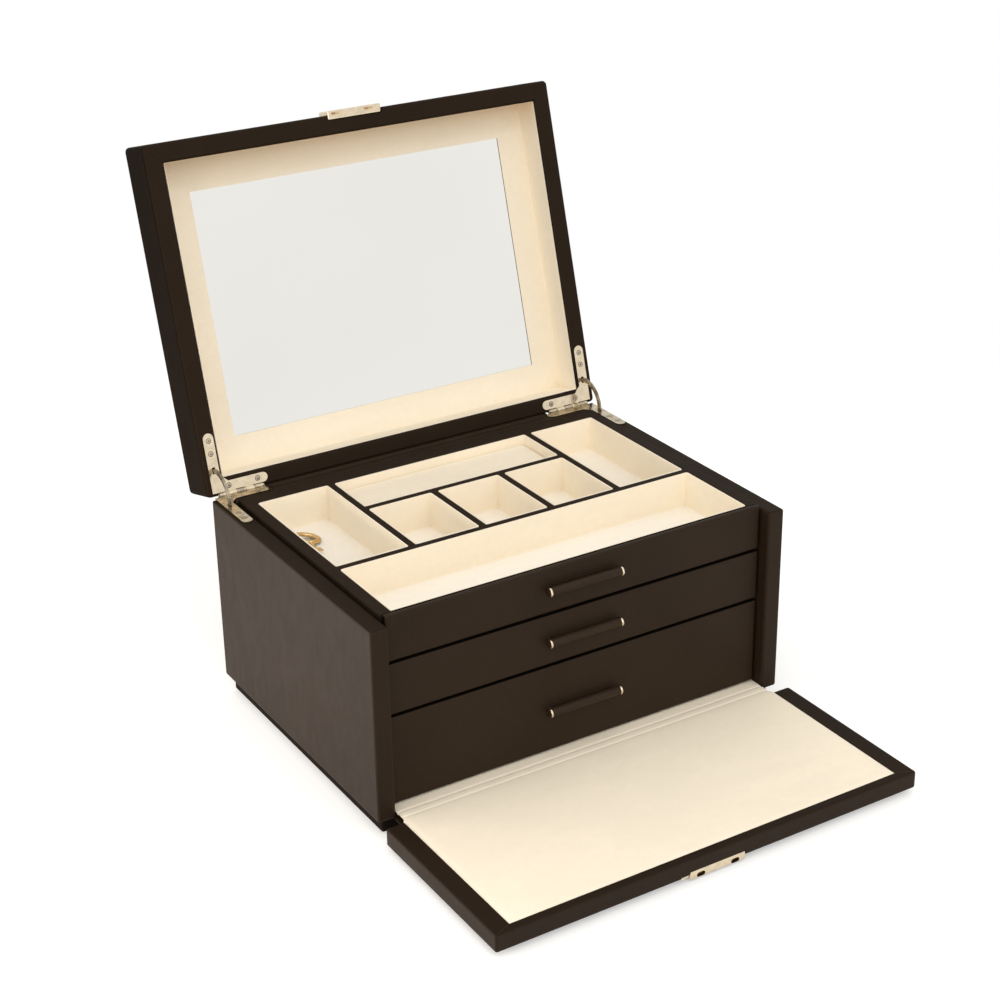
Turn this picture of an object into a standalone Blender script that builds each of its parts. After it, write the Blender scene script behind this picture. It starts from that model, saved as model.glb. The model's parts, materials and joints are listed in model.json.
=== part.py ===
"""Tiered jewelry box with a mirror lid, a drop front flap and three drawers.

Metres, +Z up, the front faces -Y. The origin is the centre of the case's
underside, on the surface the box stands on. The lid and the flap are open.
"""
import math

import bmesh
import bpy
from mathutils import Matrix, Vector

# Clearances
SEAT_GAP = 0.0003
CUT_OVERRUN = 0.004
MERGE_DISTANCE = 0.000002
EDGE_ROUND = 0.0015
FINE_ROUND = 0.0006
FLAT_ANGLE = math.radians(35)

# Case
CASE_WIDTH = 0.320
CASE_DEPTH = 0.229
WALL_TOP = 0.150
WALL_FOOT = 0.0125
WALL_THICK = 0.0127
FLOOR_THICK = 0.008
LIP_THICK = 0.0022
LIP_REACH = 0.0058
SHELF_THICK = 0.004
PLINTH_INSET = 0.0046
FELT_THICK = 0.001
FELT_INSET = 0.002

# Drawer fronts
FRONT_RECESS = 0.008
FRONT_THICK = 0.004
FRONT_SIDE_GAP = 0.0017
FRONT_ROUND = 0.0016
FRONT_SPACING = 0.0016
BOTTOM_FRONT_FOOT = 0.0173
BOTTOM_FRONT_HEIGHT = 0.06385
MIDDLE_FRONT_HEIGHT = 0.0365
TOP_FRONT_HEIGHT = 0.03255
SHELF_COVER = 0.00075

# Drawer bodies
BODY_SIDE_GAP = 0.0011
BODY_REAR_GAP = 0.001
BODY_TOP_GAP = 0.0015
BODY_WALL = 0.006
BODY_FLOOR = 0.003
CUP_WALL = 0.0014
TRAY_WALL = 0.003

# Top tray
RIM_THICK = 0.0025
RIM_BELOW_FRONT = 0.0004
FRONT_BAR = 0.0012
SIDE_RIM = 0.0082
REAR_RIM = 0.0138
DIVIDER = 0.005
FRONT_POCKET = 0.0674
SIDE_POCKET = 0.054
REAR_POCKET = 0.0454
POCKET_FLOOR = 0.0018
PAD_GAP = 0.0004
PAD_DROP = 0.006
PAD_ROUND = 0.0025

# Handles
HANDLE_SPACING = 0.055
HANDLE_BAR_RADIUS = 0.0021
HANDLE_CAP_RADIUS = 0.0031
HANDLE_FOOT_RADIUS = 0.0022
HANDLE_REACH = 0.0078
HANDLE_AXIS_OUT = 0.0055
HANDLE_HEAD_LENGTH = 0.0050
HANDLE_DOME_SHARE = 0.45
TOP_HANDLE_DROP = 0.0150
MIDDLE_HANDLE_DROP = 0.0184
BOTTOM_HANDLE_DROP = 0.0322

# Lid
COVER_SPREAD = 0.0016
LID_REAR_SPREAD = 0.0020
LID_ROUND = 0.0030
LID_OPEN_ANGLE = math.radians(105.5)
LID_DEPTH = 0.0345
LID_SIDE_WALL = 0.0135
LID_FRONT_WALL = 0.0134
LID_REAR_WALL = 0.0119
LID_HOLLOW = 0.0260
LINING_SETBACK = 0.0008
LINING_WALL = 0.0008
MAT_THICK = 0.0029
MIRROR_THICK = 0.0025
MIRROR_SIDE_MARGIN = 0.0231
MIRROR_END_MARGIN = 0.0221
COVER_LEATHER_THICK = 0.0008
COVER_LEATHER_END_GAP = 0.0012
COVER_LEATHER_DROP = 0.010

# Hinges
AXIS_BEHIND = 0.0017
LEAF_THICK = 0.0006
LEAF_GAP = 0.0003
LEAF_SIDE_INSET = 0.0024
ARM_WIDTH = 0.0078
LID_ARM_LENGTH = 0.0445
CASE_ARM_LENGTH = 0.0490
REAR_ARM_WIDTH = 0.0070
REAR_ARM_LENGTH = 0.0425
LEAF_WEB = 0.0050
LEAF_SETBACK = 0.0021
KNUCKLE_COUNT = 5
KNUCKLE_RADIUS = 0.0018
KNUCKLE_LENGTH = 0.0064
KNUCKLE_SPACING = 0.0003
KNUCKLE_START = 0.0015
BORE_RADIUS = 0.0011
PIN_RADIUS = 0.0008
PIN_HEAD_RADIUS = 0.0014
PIN_HEAD_LENGTH = 0.0006

# Lid stays
STAY_RADIUS = 0.018
STAY_WIDTH = 0.003
STAY_THICK = 0.0015
STAY_CLEARANCE = 0.00035
STAY_SLOT_ROOM = 0.0009
STAY_OVERLAP = math.radians(8)
STAY_SLOT_SPARE = math.radians(4)

# Flap
FLAP_LENGTH = 0.1315
FLAP_THICK = 0.0126
FLAP_TOP = 0.0166
FLAP_CLOSED_GAP = 0.0004
STRIP_SPAN = 0.0119
FLAP_SIDE_BORDER = 0.0130
FLAP_FRONT_BORDER = 0.0060
FLAP_LINING_THICK = 0.0013
FLAP_LINING_PROUD = 0.0001
STRIP_THICK = 0.0010
STRIP_HUMP = 0.0007
SPINE_THICK = 0.0013

# Lock and catch
LOCK_WIDTH = 0.0427
LOCK_LENGTH = 0.0250
LOCK_THICK = 0.0062
LOCK_ROUND = 0.0010
LOCK_SINK = 0.0032
HOLE_SPACING = 0.0264
HOLE_WIDTH = 0.0064
HOLE_HEIGHT = 0.0034
HOLE_DEPTH = 0.0090
HOLE_DROP = 0.0009
CYLINDER_RADIUS = 0.0042
CYLINDER_LENGTH = 0.0036
CYLINDER_CLEARANCE = 0.00015
CYLINDER_FROM_EDGE = 0.0155
KEYHOLE_LENGTH = 0.0044
KEYHOLE_WIDTH = 0.0012
KEYHOLE_DEPTH = 0.0024
SLIDE_SHAFT_RADIUS = 0.0010
SLIDE_SHAFT_INSIDE = 0.0022
SLIDE_SHAFT_OUTSIDE = 0.0038
SLIDE_KNOB_RADIUS = 0.0016
SLIDE_RISE = 0.0026
SLIDE_FROM_EDGE = 0.0022
SLIDE_KNOB_LENGTH = 0.0026
SLIDE_TRAVEL = 0.0018
CATCH_HEIGHT = 0.0140
HOOK_LENGTH = 0.0080
HOOK_WIDTH = 0.0036
HOOK_THICK = 0.0016
HOOK_NOTCH = 0.0014

# Key
KEY_THICK = 0.0020
KEY_BOW_LENGTH = 0.0170
KEY_BOW_WIDTH = 0.0200
KEY_BOW_RIM = 0.0040
KEY_SHAFT_LENGTH = 0.0140
KEY_SHAFT_WIDTH = 0.0026
KEY_BIT_LENGTH = 0.0042
KEY_BIT_REACH = 0.0034
KEY_FROM_SIDE = 0.0323
KEY_FROM_REAR = 0.0258
KEY_TURN = math.radians(72)

# Worked-out places
HALF_WIDTH = CASE_WIDTH / 2
HALF_DEPTH = CASE_DEPTH / 2
INNER_HALF = HALF_WIDTH - WALL_THICK
BACK_INNER = HALF_DEPTH - WALL_THICK
FRONT_FACE = -HALF_DEPTH + FRONT_RECESS
FRONT_REAR = FRONT_FACE + FRONT_THICK
BOARD_FRONT = FRONT_REAR + SEAT_GAP
BOARD_REAR = BACK_INNER - SEAT_GAP
BOARD_HALF = INNER_HALF - SEAT_GAP
FRONT_HALF = INNER_HALF - FRONT_SIDE_GAP
BODY_HALF = INNER_HALF - BODY_SIDE_GAP
BODY_REAR = BACK_INNER - BODY_REAR_GAP

BOTTOM_FRONT_TOP = BOTTOM_FRONT_FOOT + BOTTOM_FRONT_HEIGHT
MIDDLE_FRONT_FOOT = BOTTOM_FRONT_TOP + FRONT_SPACING
MIDDLE_FRONT_TOP = MIDDLE_FRONT_FOOT + MIDDLE_FRONT_HEIGHT
TOP_FRONT_FOOT = MIDDLE_FRONT_TOP + FRONT_SPACING
TOP_FRONT_TOP = TOP_FRONT_FOOT + TOP_FRONT_HEIGHT

FLOOR_TOP = WALL_FOOT + FLOOR_THICK
LOWER_SHELF_TOP = MIDDLE_FRONT_FOOT + SHELF_COVER
UPPER_SHELF_TOP = TOP_FRONT_FOOT + SHELF_COVER
LOWER_SHELF_FOOT = LOWER_SHELF_TOP - SHELF_THICK
UPPER_SHELF_FOOT = UPPER_SHELF_TOP - SHELF_THICK

AXIS_Y = HALF_DEPTH + AXIS_BEHIND
AXIS_Z = WALL_TOP + SEAT_GAP + LEAF_THICK + LEAF_GAP / 2
LID_RIM = AXIS_Z + LEAF_GAP / 2 + LEAF_THICK + SEAT_GAP
LID_TOP = LID_RIM + LID_DEPTH
LID_FRONT = -(HALF_DEPTH + FLAP_CLOSED_GAP + FLAP_THICK)
LID_REAR = HALF_DEPTH + LID_REAR_SPREAD
COVER_HALF = HALF_WIDTH + COVER_SPREAD
STAY_X = HALF_WIDTH - LEAF_SIDE_INSET - ARM_WIDTH / 2

FLAP_REAR = -(HALF_DEPTH + STRIP_SPAN)
FLAP_FRONT = FLAP_REAR - FLAP_LENGTH
FLAP_FOOT = FLAP_TOP - FLAP_THICK
PIVOT_DIFFERENCE = -(HALF_DEPTH + FLAP_CLOSED_GAP) - FLAP_TOP
PIVOT_SUM = WALL_TOP + FLAP_FRONT
FLAP_AXIS_Y = (PIVOT_SUM + PIVOT_DIFFERENCE) / 2
FLAP_AXIS_Z = (PIVOT_SUM - PIVOT_DIFFERENCE) / 2
LOCK_TOP = FLAP_FOOT + LOCK_SINK
LOCK_FOOT = LOCK_TOP - LOCK_THICK
HOLE_MIDDLE = (LOCK_TOP + LOCK_FOOT) / 2 - HOLE_DROP
SLIDE_MIDDLE = LOCK_FOOT + SLIDE_RISE
CATCH_REAR = LID_FRONT + LOCK_SINK
CATCH_FRONT = CATCH_REAR - LOCK_THICK
HOOK_MIDDLE = (CATCH_REAR + CATCH_FRONT) / 2 - HOLE_DROP


def clear_scene():
    for obj in list(bpy.data.objects):
        bpy.data.objects.remove(obj, do_unlink=True)


def material(name, colour, roughness, metallic):
    """One Principled material."""
    mat = bpy.data.materials.new(name)
    mat.use_nodes = True
    shader = mat.node_tree.nodes["Principled BSDF"]
    shader.inputs["Base Color"].default_value = (*colour, 1.0)
    shader.inputs["Roughness"].default_value = roughness
    shader.inputs["Metallic"].default_value = metallic
    mat.diffuse_color = (*colour, 1.0)
    return mat


def axis_empty(name, place, turn=0.0):
    """An empty on a joint's axis, turned about X."""
    empty = bpy.data.objects.new(name, None)
    bpy.context.scene.collection.objects.link(empty)
    empty.location = place
    empty.rotation_euler = (turn, 0, 0)
    return empty


def add(name, bm, mat, carrier=None):
    """Make an object of a shape drawn in the closed, built position.

    With a carrier, the shape turns with it about the carrier's own origin.
    """
    bmesh.ops.recalc_face_normals(bm, faces=bm.faces)
    mesh = bpy.data.meshes.new(name)
    bm.to_mesh(mesh)
    bm.free()
    if mat is not None:
        mesh.materials.append(mat)
    obj = bpy.data.objects.new(name, mesh)
    bpy.context.scene.collection.objects.link(obj)
    if carrier is not None:
        mesh.transform(Matrix.Translation(-Vector(carrier.location)))
        obj.parent = carrier
    return obj


def tool(name, bm, carrier=None):
    """A hidden shape that only cuts or joins."""
    obj = add(name, bm, None, carrier)
    obj.hide_render = True
    obj.display_type = "WIRE"
    return obj


def boolean(obj, other, operation="DIFFERENCE"):
    modifier = obj.modifiers.new(other.name, "BOOLEAN")
    modifier.object = other
    modifier.operation = operation
    modifier.solver = "EXACT"


def round_edges(obj, width, segments=2):
    """Round the hard edges."""
    modifier = obj.modifiers.new("round", "BEVEL")
    modifier.width = width
    modifier.segments = segments
    modifier.limit_method = "ANGLE"
    modifier.angle_limit = FLAT_ANGLE
    modifier.use_clamp_overlap = True


def smooth(obj):
    obj.data.shade_smooth()
    obj.data.set_sharp_from_angle(angle=FLAT_ANGLE)


def block(x0, x1, y0, y1, z0, z1, bm=None):
    """A plain block, its footprint extruded upward."""
    bm = bm or bmesh.new()
    corners = [bm.verts.new(p) for p in ((x0, y0, z0), (x1, y0, z0), (x1, y1, z0), (x0, y1, z0))]
    face = bm.faces.new(corners)
    made = bmesh.ops.extrude_face_region(bm, geom=[face])
    verts = [item for item in made["geom"] if isinstance(item, bmesh.types.BMVert)]
    bmesh.ops.translate(bm, verts=verts, vec=(0, 0, z1 - z0))
    return bm


def prism(outline, start, end, across):
    """An outline extruded along X, Y or Z.

    The outline's two numbers are Y and Z, X and Z, or X and Y.
    """
    place = {"X": lambda a, b: (start, a, b), "Y": lambda a, b: (a, start, b),
             "Z": lambda a, b: (a, b, start)}
    way = {"X": (1, 0, 0), "Y": (0, 1, 0), "Z": (0, 0, 1)}
    bm = bmesh.new()
    face = bm.faces.new([bm.verts.new(place[across](a, b)) for a, b in outline])
    made = bmesh.ops.extrude_face_region(bm, geom=[face])
    verts = [item for item in made["geom"] if isinstance(item, bmesh.types.BMVert)]
    bmesh.ops.translate(bm, verts=verts, vec=Vector(way[across]) * (end - start))
    return bm


def cup(x0, x1, y0, y1, z0, z1, wall, floor):
    """A block whose top face is inset and pushed down to a floor."""
    bm = block(x0, x1, y0, y1, z0, z1)
    top = max(bm.faces, key=lambda f: f.calc_center_median().z)
    bmesh.ops.inset_region(bm, faces=[top], thickness=wall, use_even_offset=True)
    made = bmesh.ops.extrude_face_region(bm, geom=[top])
    verts = [item for item in made["geom"] if isinstance(item, bmesh.types.BMVert)]
    bmesh.ops.delete(bm, geom=[top], context="FACES_KEEP_BOUNDARY")
    bmesh.ops.translate(bm, verts=verts, vec=(0, 0, -(z1 - z0 - floor)))
    return bm


def round_outside(bm, z_open, z_closed, width, rim_width):
    """Round a hollow block: its closed end and upright corners by one width, its rim by another."""
    def level(edge, z):
        return all(abs(v.co.z - z) < MERGE_DISTANCE for v in edge.verts)

    def tall(edge):
        return abs(edge.verts[0].co.z - edge.verts[1].co.z) > abs(z_closed - z_open) - MERGE_DISTANCE

    outside = [e for e in bm.edges if level(e, z_closed) or tall(e)]
    bmesh.ops.bevel(bm, geom=outside, offset=width, segments=3, profile=0.5, affect="EDGES",
                    clamp_overlap=True)
    rim = [e for e in bm.edges if level(e, z_open) and e.calc_face_angle(0) > FLAT_ANGLE]
    bmesh.ops.bevel(bm, geom=rim, offset=rim_width, segments=2, profile=0.5, affect="EDGES",
                    clamp_overlap=True)


def shell(outer, inner, z_open, z_floor, z_closed):
    """A hollow block: four rectangles (x0, x1, y0, y1) skinned from the outer base to the hollow's floor."""
    bm = bmesh.new()
    rings = []
    for (x0, x1, y0, y1), z in ((outer, z_closed), (outer, z_open), (inner, z_open), (inner, z_floor)):
        rings.append([bm.verts.new(p) for p in ((x0, y0, z), (x1, y0, z), (x1, y1, z), (x0, y1, z))])
    for one, other in zip(rings, rings[1:]):
        for i in range(4):
            bm.faces.new((one[i - 1], one[i], other[i], other[i - 1]))
    bm.faces.new(rings[0])
    bm.faces.new(rings[-1])
    bmesh.ops.recalc_face_normals(bm, faces=bm.faces)
    return bm


def turned(profile, centre, along, steps=16):
    """A closed round piece: (distance along, radius) pairs spun about an axis."""
    bm = bmesh.new()
    verts = [bm.verts.new((0, radius, place)) for place, radius in profile]
    edges = [bm.edges.new(pair) for pair in zip(verts, verts[1:])]
    bmesh.ops.spin(bm, geom=verts + edges, cent=(0, 0, 0), axis=(0, 0, 1), angle=math.tau, steps=steps,
                   use_merge=True, use_duplicate=False)
    bmesh.ops.remove_doubles(bm, verts=bm.verts, dist=MERGE_DISTANCE)
    turn = Vector((0, 0, 1)).rotation_difference(Vector(along)).to_matrix().to_4x4()
    bmesh.ops.transform(bm, matrix=Matrix.Translation(centre) @ turn, verts=bm.verts)
    return bm


def rod(radius, length, centre, along, steps=16):
    """A plain round rod that starts at its centre point."""
    return turned([(0, 0), (0, radius), (length, radius), (length, 0)], centre, along, steps)


def arc_band(x, thick, inner, outer, first, last, steps):
    """A flat bar bent round the lid's axis, from one angle to another.

    Angles run from straight forward, upward.
    """
    bm = bmesh.new()
    corners = [(x - thick / 2, -inner, 0), (x + thick / 2, -inner, 0), (x + thick / 2, -outer, 0),
               (x - thick / 2, -outer, 0)]
    turn = Matrix.Rotation(-first, 4, "X")
    face = bm.faces.new([bm.verts.new(turn @ Vector(p)) for p in corners])
    bmesh.ops.spin(bm, geom=[face], cent=(0, 0, 0), axis=(1, 0, 0), angle=first - last, steps=steps,
                   use_duplicate=False)
    bmesh.ops.translate(bm, verts=bm.verts, vec=(0, AXIS_Y, AXIS_Z))
    return bm


def arc_points(centre_a, centre_b, radius, first, last, count):
    """Points along a circular arc."""
    step = (last - first) / count
    return [(centre_a + radius * math.cos(first + step * i), centre_b + radius * math.sin(first + step * i))
            for i in range(count + 1)]


def make_materials():
    return {
        "leather": material("leather", (0.045, 0.032, 0.024), 0.42, 0.0),
        "suede": material("suede", (0.86, 0.76, 0.60), 0.95, 0.0),
        "felt": material("felt", (0.03, 0.025, 0.02), 0.98, 0.0),
        "gold": material("gold", (0.80, 0.66, 0.42), 0.22, 1.0),
        "mirror": material("mirror", (0.92, 0.92, 0.92), 0.03, 1.0),
    }


def stay_slot(name, side, first, last, carrier=None):
    """The curved slot that a lid stay slides in."""
    half = STAY_WIDTH / 2 + STAY_SLOT_ROOM
    band = arc_band(side * STAY_X, STAY_THICK + STAY_CLEARANCE * 2, STAY_RADIUS - half, STAY_RADIUS + half,
                    first, last, 14)
    return tool(name, band, carrier)


def build_case(mats):
    leather = mats["leather"]
    half_turn = LID_OPEN_ANGLE / 2
    slots = {}
    for side, word in ((-1, "left"), (1, "right")):
        outer = side * HALF_WIDTH
        inner = side * INNER_HALF
        wall = block(min(outer, inner), max(outer, inner), -HALF_DEPTH, HALF_DEPTH, WALL_FOOT, WALL_TOP)
        panel = add(f"side_panel_{word}", wall, leather)
        slots[side] = stay_slot(f"case_slot_{word}", side, -half_turn - STAY_OVERLAP - STAY_SLOT_SPARE,
                                STAY_OVERLAP + STAY_SLOT_SPARE)
        round_edges(panel, EDGE_ROUND)
        boolean(panel, slots[side])
    wall = block(-BOARD_HALF, BOARD_HALF, BACK_INNER, HALF_DEPTH, WALL_FOOT, WALL_TOP)
    back = add("back_panel", wall, leather)
    round_edges(back, EDGE_ROUND)
    lip_top = WALL_FOOT + LIP_THICK
    lip_front = BOARD_FRONT - LIP_REACH
    step = [(lip_front, WALL_FOOT), (BOARD_REAR, WALL_FOOT), (BOARD_REAR, FLOOR_TOP),
            (BOARD_FRONT, FLOOR_TOP), (BOARD_FRONT, lip_top), (lip_front, lip_top)]
    add("floor_board", prism(step, -BOARD_HALF, BOARD_HALF, "X"), leather)
    for word, foot, top in (("lower", LOWER_SHELF_FOOT, LOWER_SHELF_TOP),
                            ("upper", UPPER_SHELF_FOOT, UPPER_SHELF_TOP)):
        add(f"shelf_{word}", block(-BOARD_HALF, BOARD_HALF, BOARD_FRONT, BOARD_REAR, foot, top), leather)
    plinth_half = HALF_WIDTH - PLINTH_INSET
    plinth_depth = HALF_DEPTH - PLINTH_INSET
    plinth = add("base_plinth", block(-plinth_half, plinth_half, -plinth_depth, plinth_depth,
                                      FELT_THICK + SEAT_GAP, WALL_FOOT - SEAT_GAP), leather)
    round_edges(plinth, EDGE_ROUND)
    felt_half = plinth_half - FELT_INSET
    felt_depth = plinth_depth - FELT_INSET
    add("base_felt", block(-felt_half, felt_half, -felt_depth, felt_depth, 0, FELT_THICK), mats["felt"])
    build_strips(mats, lip_top, plinth_depth)
    return slots


def build_strips(mats, lip_top, plinth_depth):
    """The two soft strips that the flap folds on, one inside and one outside."""
    rear = BOARD_FRONT - SEAT_GAP
    front = FLAP_REAR + SEAT_GAP
    lip_front = BOARD_FRONT - LIP_REACH
    low_rear = lip_top + SEAT_GAP
    fold = (lip_front + front) / 2
    hump_shares = [(rear, 0.0), (lip_front, 0.45), ((lip_front + fold) / 2, 1.0), (fold, 0.2),
                   ((fold + front) / 2, 0.8), (front, 0.25)]
    lower = [(y, low_rear + STRIP_HUMP * share) for y, share in hump_shares]
    upper = [(y, z + STRIP_THICK) for y, z in reversed(lower)]
    half = BOARD_HALF - SEAT_GAP
    strip = add("hinge_strip_suede", prism(lower + upper, -half, half, "X"), mats["suede"])
    smooth(strip)
    spine_rear = -plinth_depth - SEAT_GAP
    spine_top = WALL_FOOT - SEAT_GAP
    spine = add("hinge_spine_leather", block(-HALF_WIDTH, HALF_WIDTH, front, spine_rear,
                                             spine_top - SPINE_THICK, spine_top), mats["leather"])
    smooth(spine)


def build_handle(word, height, mats):
    """A round bar held between two turned posts."""
    head_start = HANDLE_REACH - HANDLE_HEAD_LENGTH
    dome = HANDLE_HEAD_LENGTH * HANDLE_DOME_SHARE
    profile = [(0, 0), (0, HANDLE_FOOT_RADIUS), (head_start, HANDLE_FOOT_RADIUS)]
    profile.append((head_start + FINE_ROUND / 2, HANDLE_CAP_RADIUS))
    for i in range(4):
        angle = math.pi / 2 * i / 4
        profile.append((HANDLE_REACH - dome + dome * math.sin(angle), HANDLE_CAP_RADIUS * math.cos(angle)))
    profile.append((HANDLE_REACH, 0))
    foot = FRONT_FACE - SEAT_GAP
    profile = [(place - SEAT_GAP if place else 0, radius) for place, radius in profile]
    for side, hand in ((-1, "left"), (1, "right")):
        shape = turned(profile, (side * HANDLE_SPACING / 2, foot, height), (0, -1, 0))
        post = add(f"{word}_handle_post_{hand}", shape, mats["gold"])
        smooth(post)
    half = HANDLE_SPACING / 2 - HANDLE_CAP_RADIUS - SEAT_GAP
    start = (-half, FRONT_FACE - HANDLE_AXIS_OUT, height)
    bar = add(f"{word}_handle_bar", rod(HANDLE_BAR_RADIUS, half * 2, start, (1, 0, 0)), mats["leather"])
    smooth(bar)


def build_front(word, foot, top, mats):
    board = block(-FRONT_HALF, FRONT_HALF, FRONT_FACE, FRONT_REAR, foot, top)
    front = add(f"{word}_front", board, mats["leather"])
    round_edges(front, FRONT_ROUND)


def open_box(word, foot, top, wall, mats):
    """A drawer body: two sides, a back and a floor, closed in front by the front board."""
    shape = block(-BODY_HALF, BODY_HALF, BOARD_FRONT, BODY_REAR, foot, top)
    body = add(f"{word}_body", shape, mats["leather"])
    cutter = tool(f"{word}_hollow", block(-BODY_HALF + wall, BODY_HALF - wall, BOARD_FRONT - CUT_OVERRUN,
                                          BODY_REAR - wall, foot + BODY_FLOOR, top + CUT_OVERRUN))
    boolean(body, cutter)


def build_low_drawer(word, foot, front_foot, front_top, roof, handle_drop, mats):
    """A lined drawer under a shelf."""
    top = roof - BODY_TOP_GAP
    build_front(word, front_foot, front_top, mats)
    open_box(word, foot, top, BODY_WALL, mats)
    inset = BODY_WALL + SEAT_GAP
    add(f"{word}_lining", cup(-BODY_HALF + inset, BODY_HALF - inset, BOARD_FRONT, BODY_REAR - inset,
                              foot + BODY_FLOOR + SEAT_GAP, top, CUP_WALL, CUP_WALL), mats["suede"])
    build_handle(word, front_top - handle_drop, mats)


def pocket_places():
    """The seven compartments as (x0, x1, y0, y1)."""
    half = BODY_HALF - SIDE_RIM
    front = BOARD_FRONT + FRONT_BAR
    rear = BODY_REAR - REAR_RIM
    front_line = front + FRONT_POCKET
    middle = front_line + DIVIDER
    centre = half - SIDE_POCKET - DIVIDER
    rear_line = rear - REAR_POCKET - DIVIDER
    cell = (centre * 2 - DIVIDER * 2) / 3
    places = {"front": (-half, half, front, front_line), "left": (-half, -half + SIDE_POCKET, middle, rear),
              "right": (half - SIDE_POCKET, half, middle, rear),
              "rear": (-centre, centre, rear - REAR_POCKET, rear)}
    for i in range(3):
        start = -centre + i * (cell + DIVIDER)
        places[f"cell_{i}"] = (start, start + cell, middle, rear_line)
    return places


def build_top_drawer(mats):
    """The open tray: a body, a lined insert with seven pockets and a dark rim over it."""
    word = "top_drawer"
    foot = UPPER_SHELF_TOP + SEAT_GAP
    rim_top = TOP_FRONT_TOP - RIM_BELOW_FRONT
    rim_foot = rim_top - RIM_THICK
    top = rim_foot - SEAT_GAP
    build_front(word, TOP_FRONT_FOOT, TOP_FRONT_TOP, mats)
    open_box(word, foot, top, TRAY_WALL, mats)
    inset = TRAY_WALL + SEAT_GAP
    insert_foot = foot + BODY_FLOOR + SEAT_GAP
    floor_top = insert_foot + POCKET_FLOOR
    cutter_mesh = bmesh.new()
    for x0, x1, y0, y1 in pocket_places().values():
        block(x0, x1, y0, y1, floor_top, rim_top + CUT_OVERRUN, cutter_mesh)
    pockets = tool("pocket_cutter", cutter_mesh)
    insert = add(f"{word}_insert", block(-BODY_HALF + inset, BODY_HALF - inset, BOARD_FRONT,
                                         BODY_REAR - inset, insert_foot, top), mats["suede"])
    boolean(insert, pockets)
    border = block(-BODY_HALF, BODY_HALF, BOARD_FRONT, BODY_REAR, rim_foot, rim_top)
    rim = add(f"{word}_rim", border, mats["leather"])
    boolean(rim, pockets)
    round_edges(rim, FINE_ROUND)
    x0, x1, y0, y1 = pocket_places()["rear"]
    pad = add("ring_pad", block(x0 + PAD_GAP, x1 - PAD_GAP, y0 + PAD_GAP, y1 - PAD_GAP,
                                floor_top + SEAT_GAP, rim_top - PAD_DROP), mats["suede"])
    round_edges(pad, PAD_ROUND, 3)
    build_handle(word, TOP_FRONT_TOP - TOP_HANDLE_DROP, mats)
    build_key(floor_top + SEAT_GAP, mats)


def build_key(foot, mats):
    """The small key on the left pocket's floor."""
    def ring(length, width):
        return [(length / 2 * math.cos(math.tau * i / 24), width / 2 * math.sin(math.tau * i / 24))
                for i in range(24)]

    def placed(bm):
        place = Matrix.Translation((-INNER_HALF + KEY_FROM_SIDE, BODY_REAR - REAR_RIM - KEY_FROM_REAR, 0))
        bmesh.ops.transform(bm, matrix=place @ Matrix.Rotation(KEY_TURN, 4, "Z"), verts=bm.verts)
        return bm

    top = foot + KEY_THICK
    key = add("key", placed(prism(ring(KEY_BOW_LENGTH, KEY_BOW_WIDTH), foot, top, "Z")), mats["gold"])
    opening = ring(KEY_BOW_LENGTH - KEY_BOW_RIM * 2, KEY_BOW_WIDTH - KEY_BOW_RIM * 2)
    hole = tool("key_bow_hole", placed(prism(opening, foot - CUT_OVERRUN, top + CUT_OVERRUN, "Z")))
    boolean(key, hole)
    root = -KEY_BOW_LENGTH / 2 + KEY_BOW_RIM / 2
    tip = -KEY_BOW_LENGTH / 2 - KEY_SHAFT_LENGTH
    half = KEY_SHAFT_WIDTH / 2
    inner = tip + KEY_BIT_LENGTH
    outline = [(root, -half), (root, half), (tip - half, half), (tip - half, -half), (tip, -half),
               (tip, -half - KEY_BIT_REACH), (inner, -half - KEY_BIT_REACH), (inner, -half)]
    stem = tool("key_stem", placed(prism(outline, foot, top, "Z")))
    boolean(key, stem, "UNION")
    smooth(key)


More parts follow.
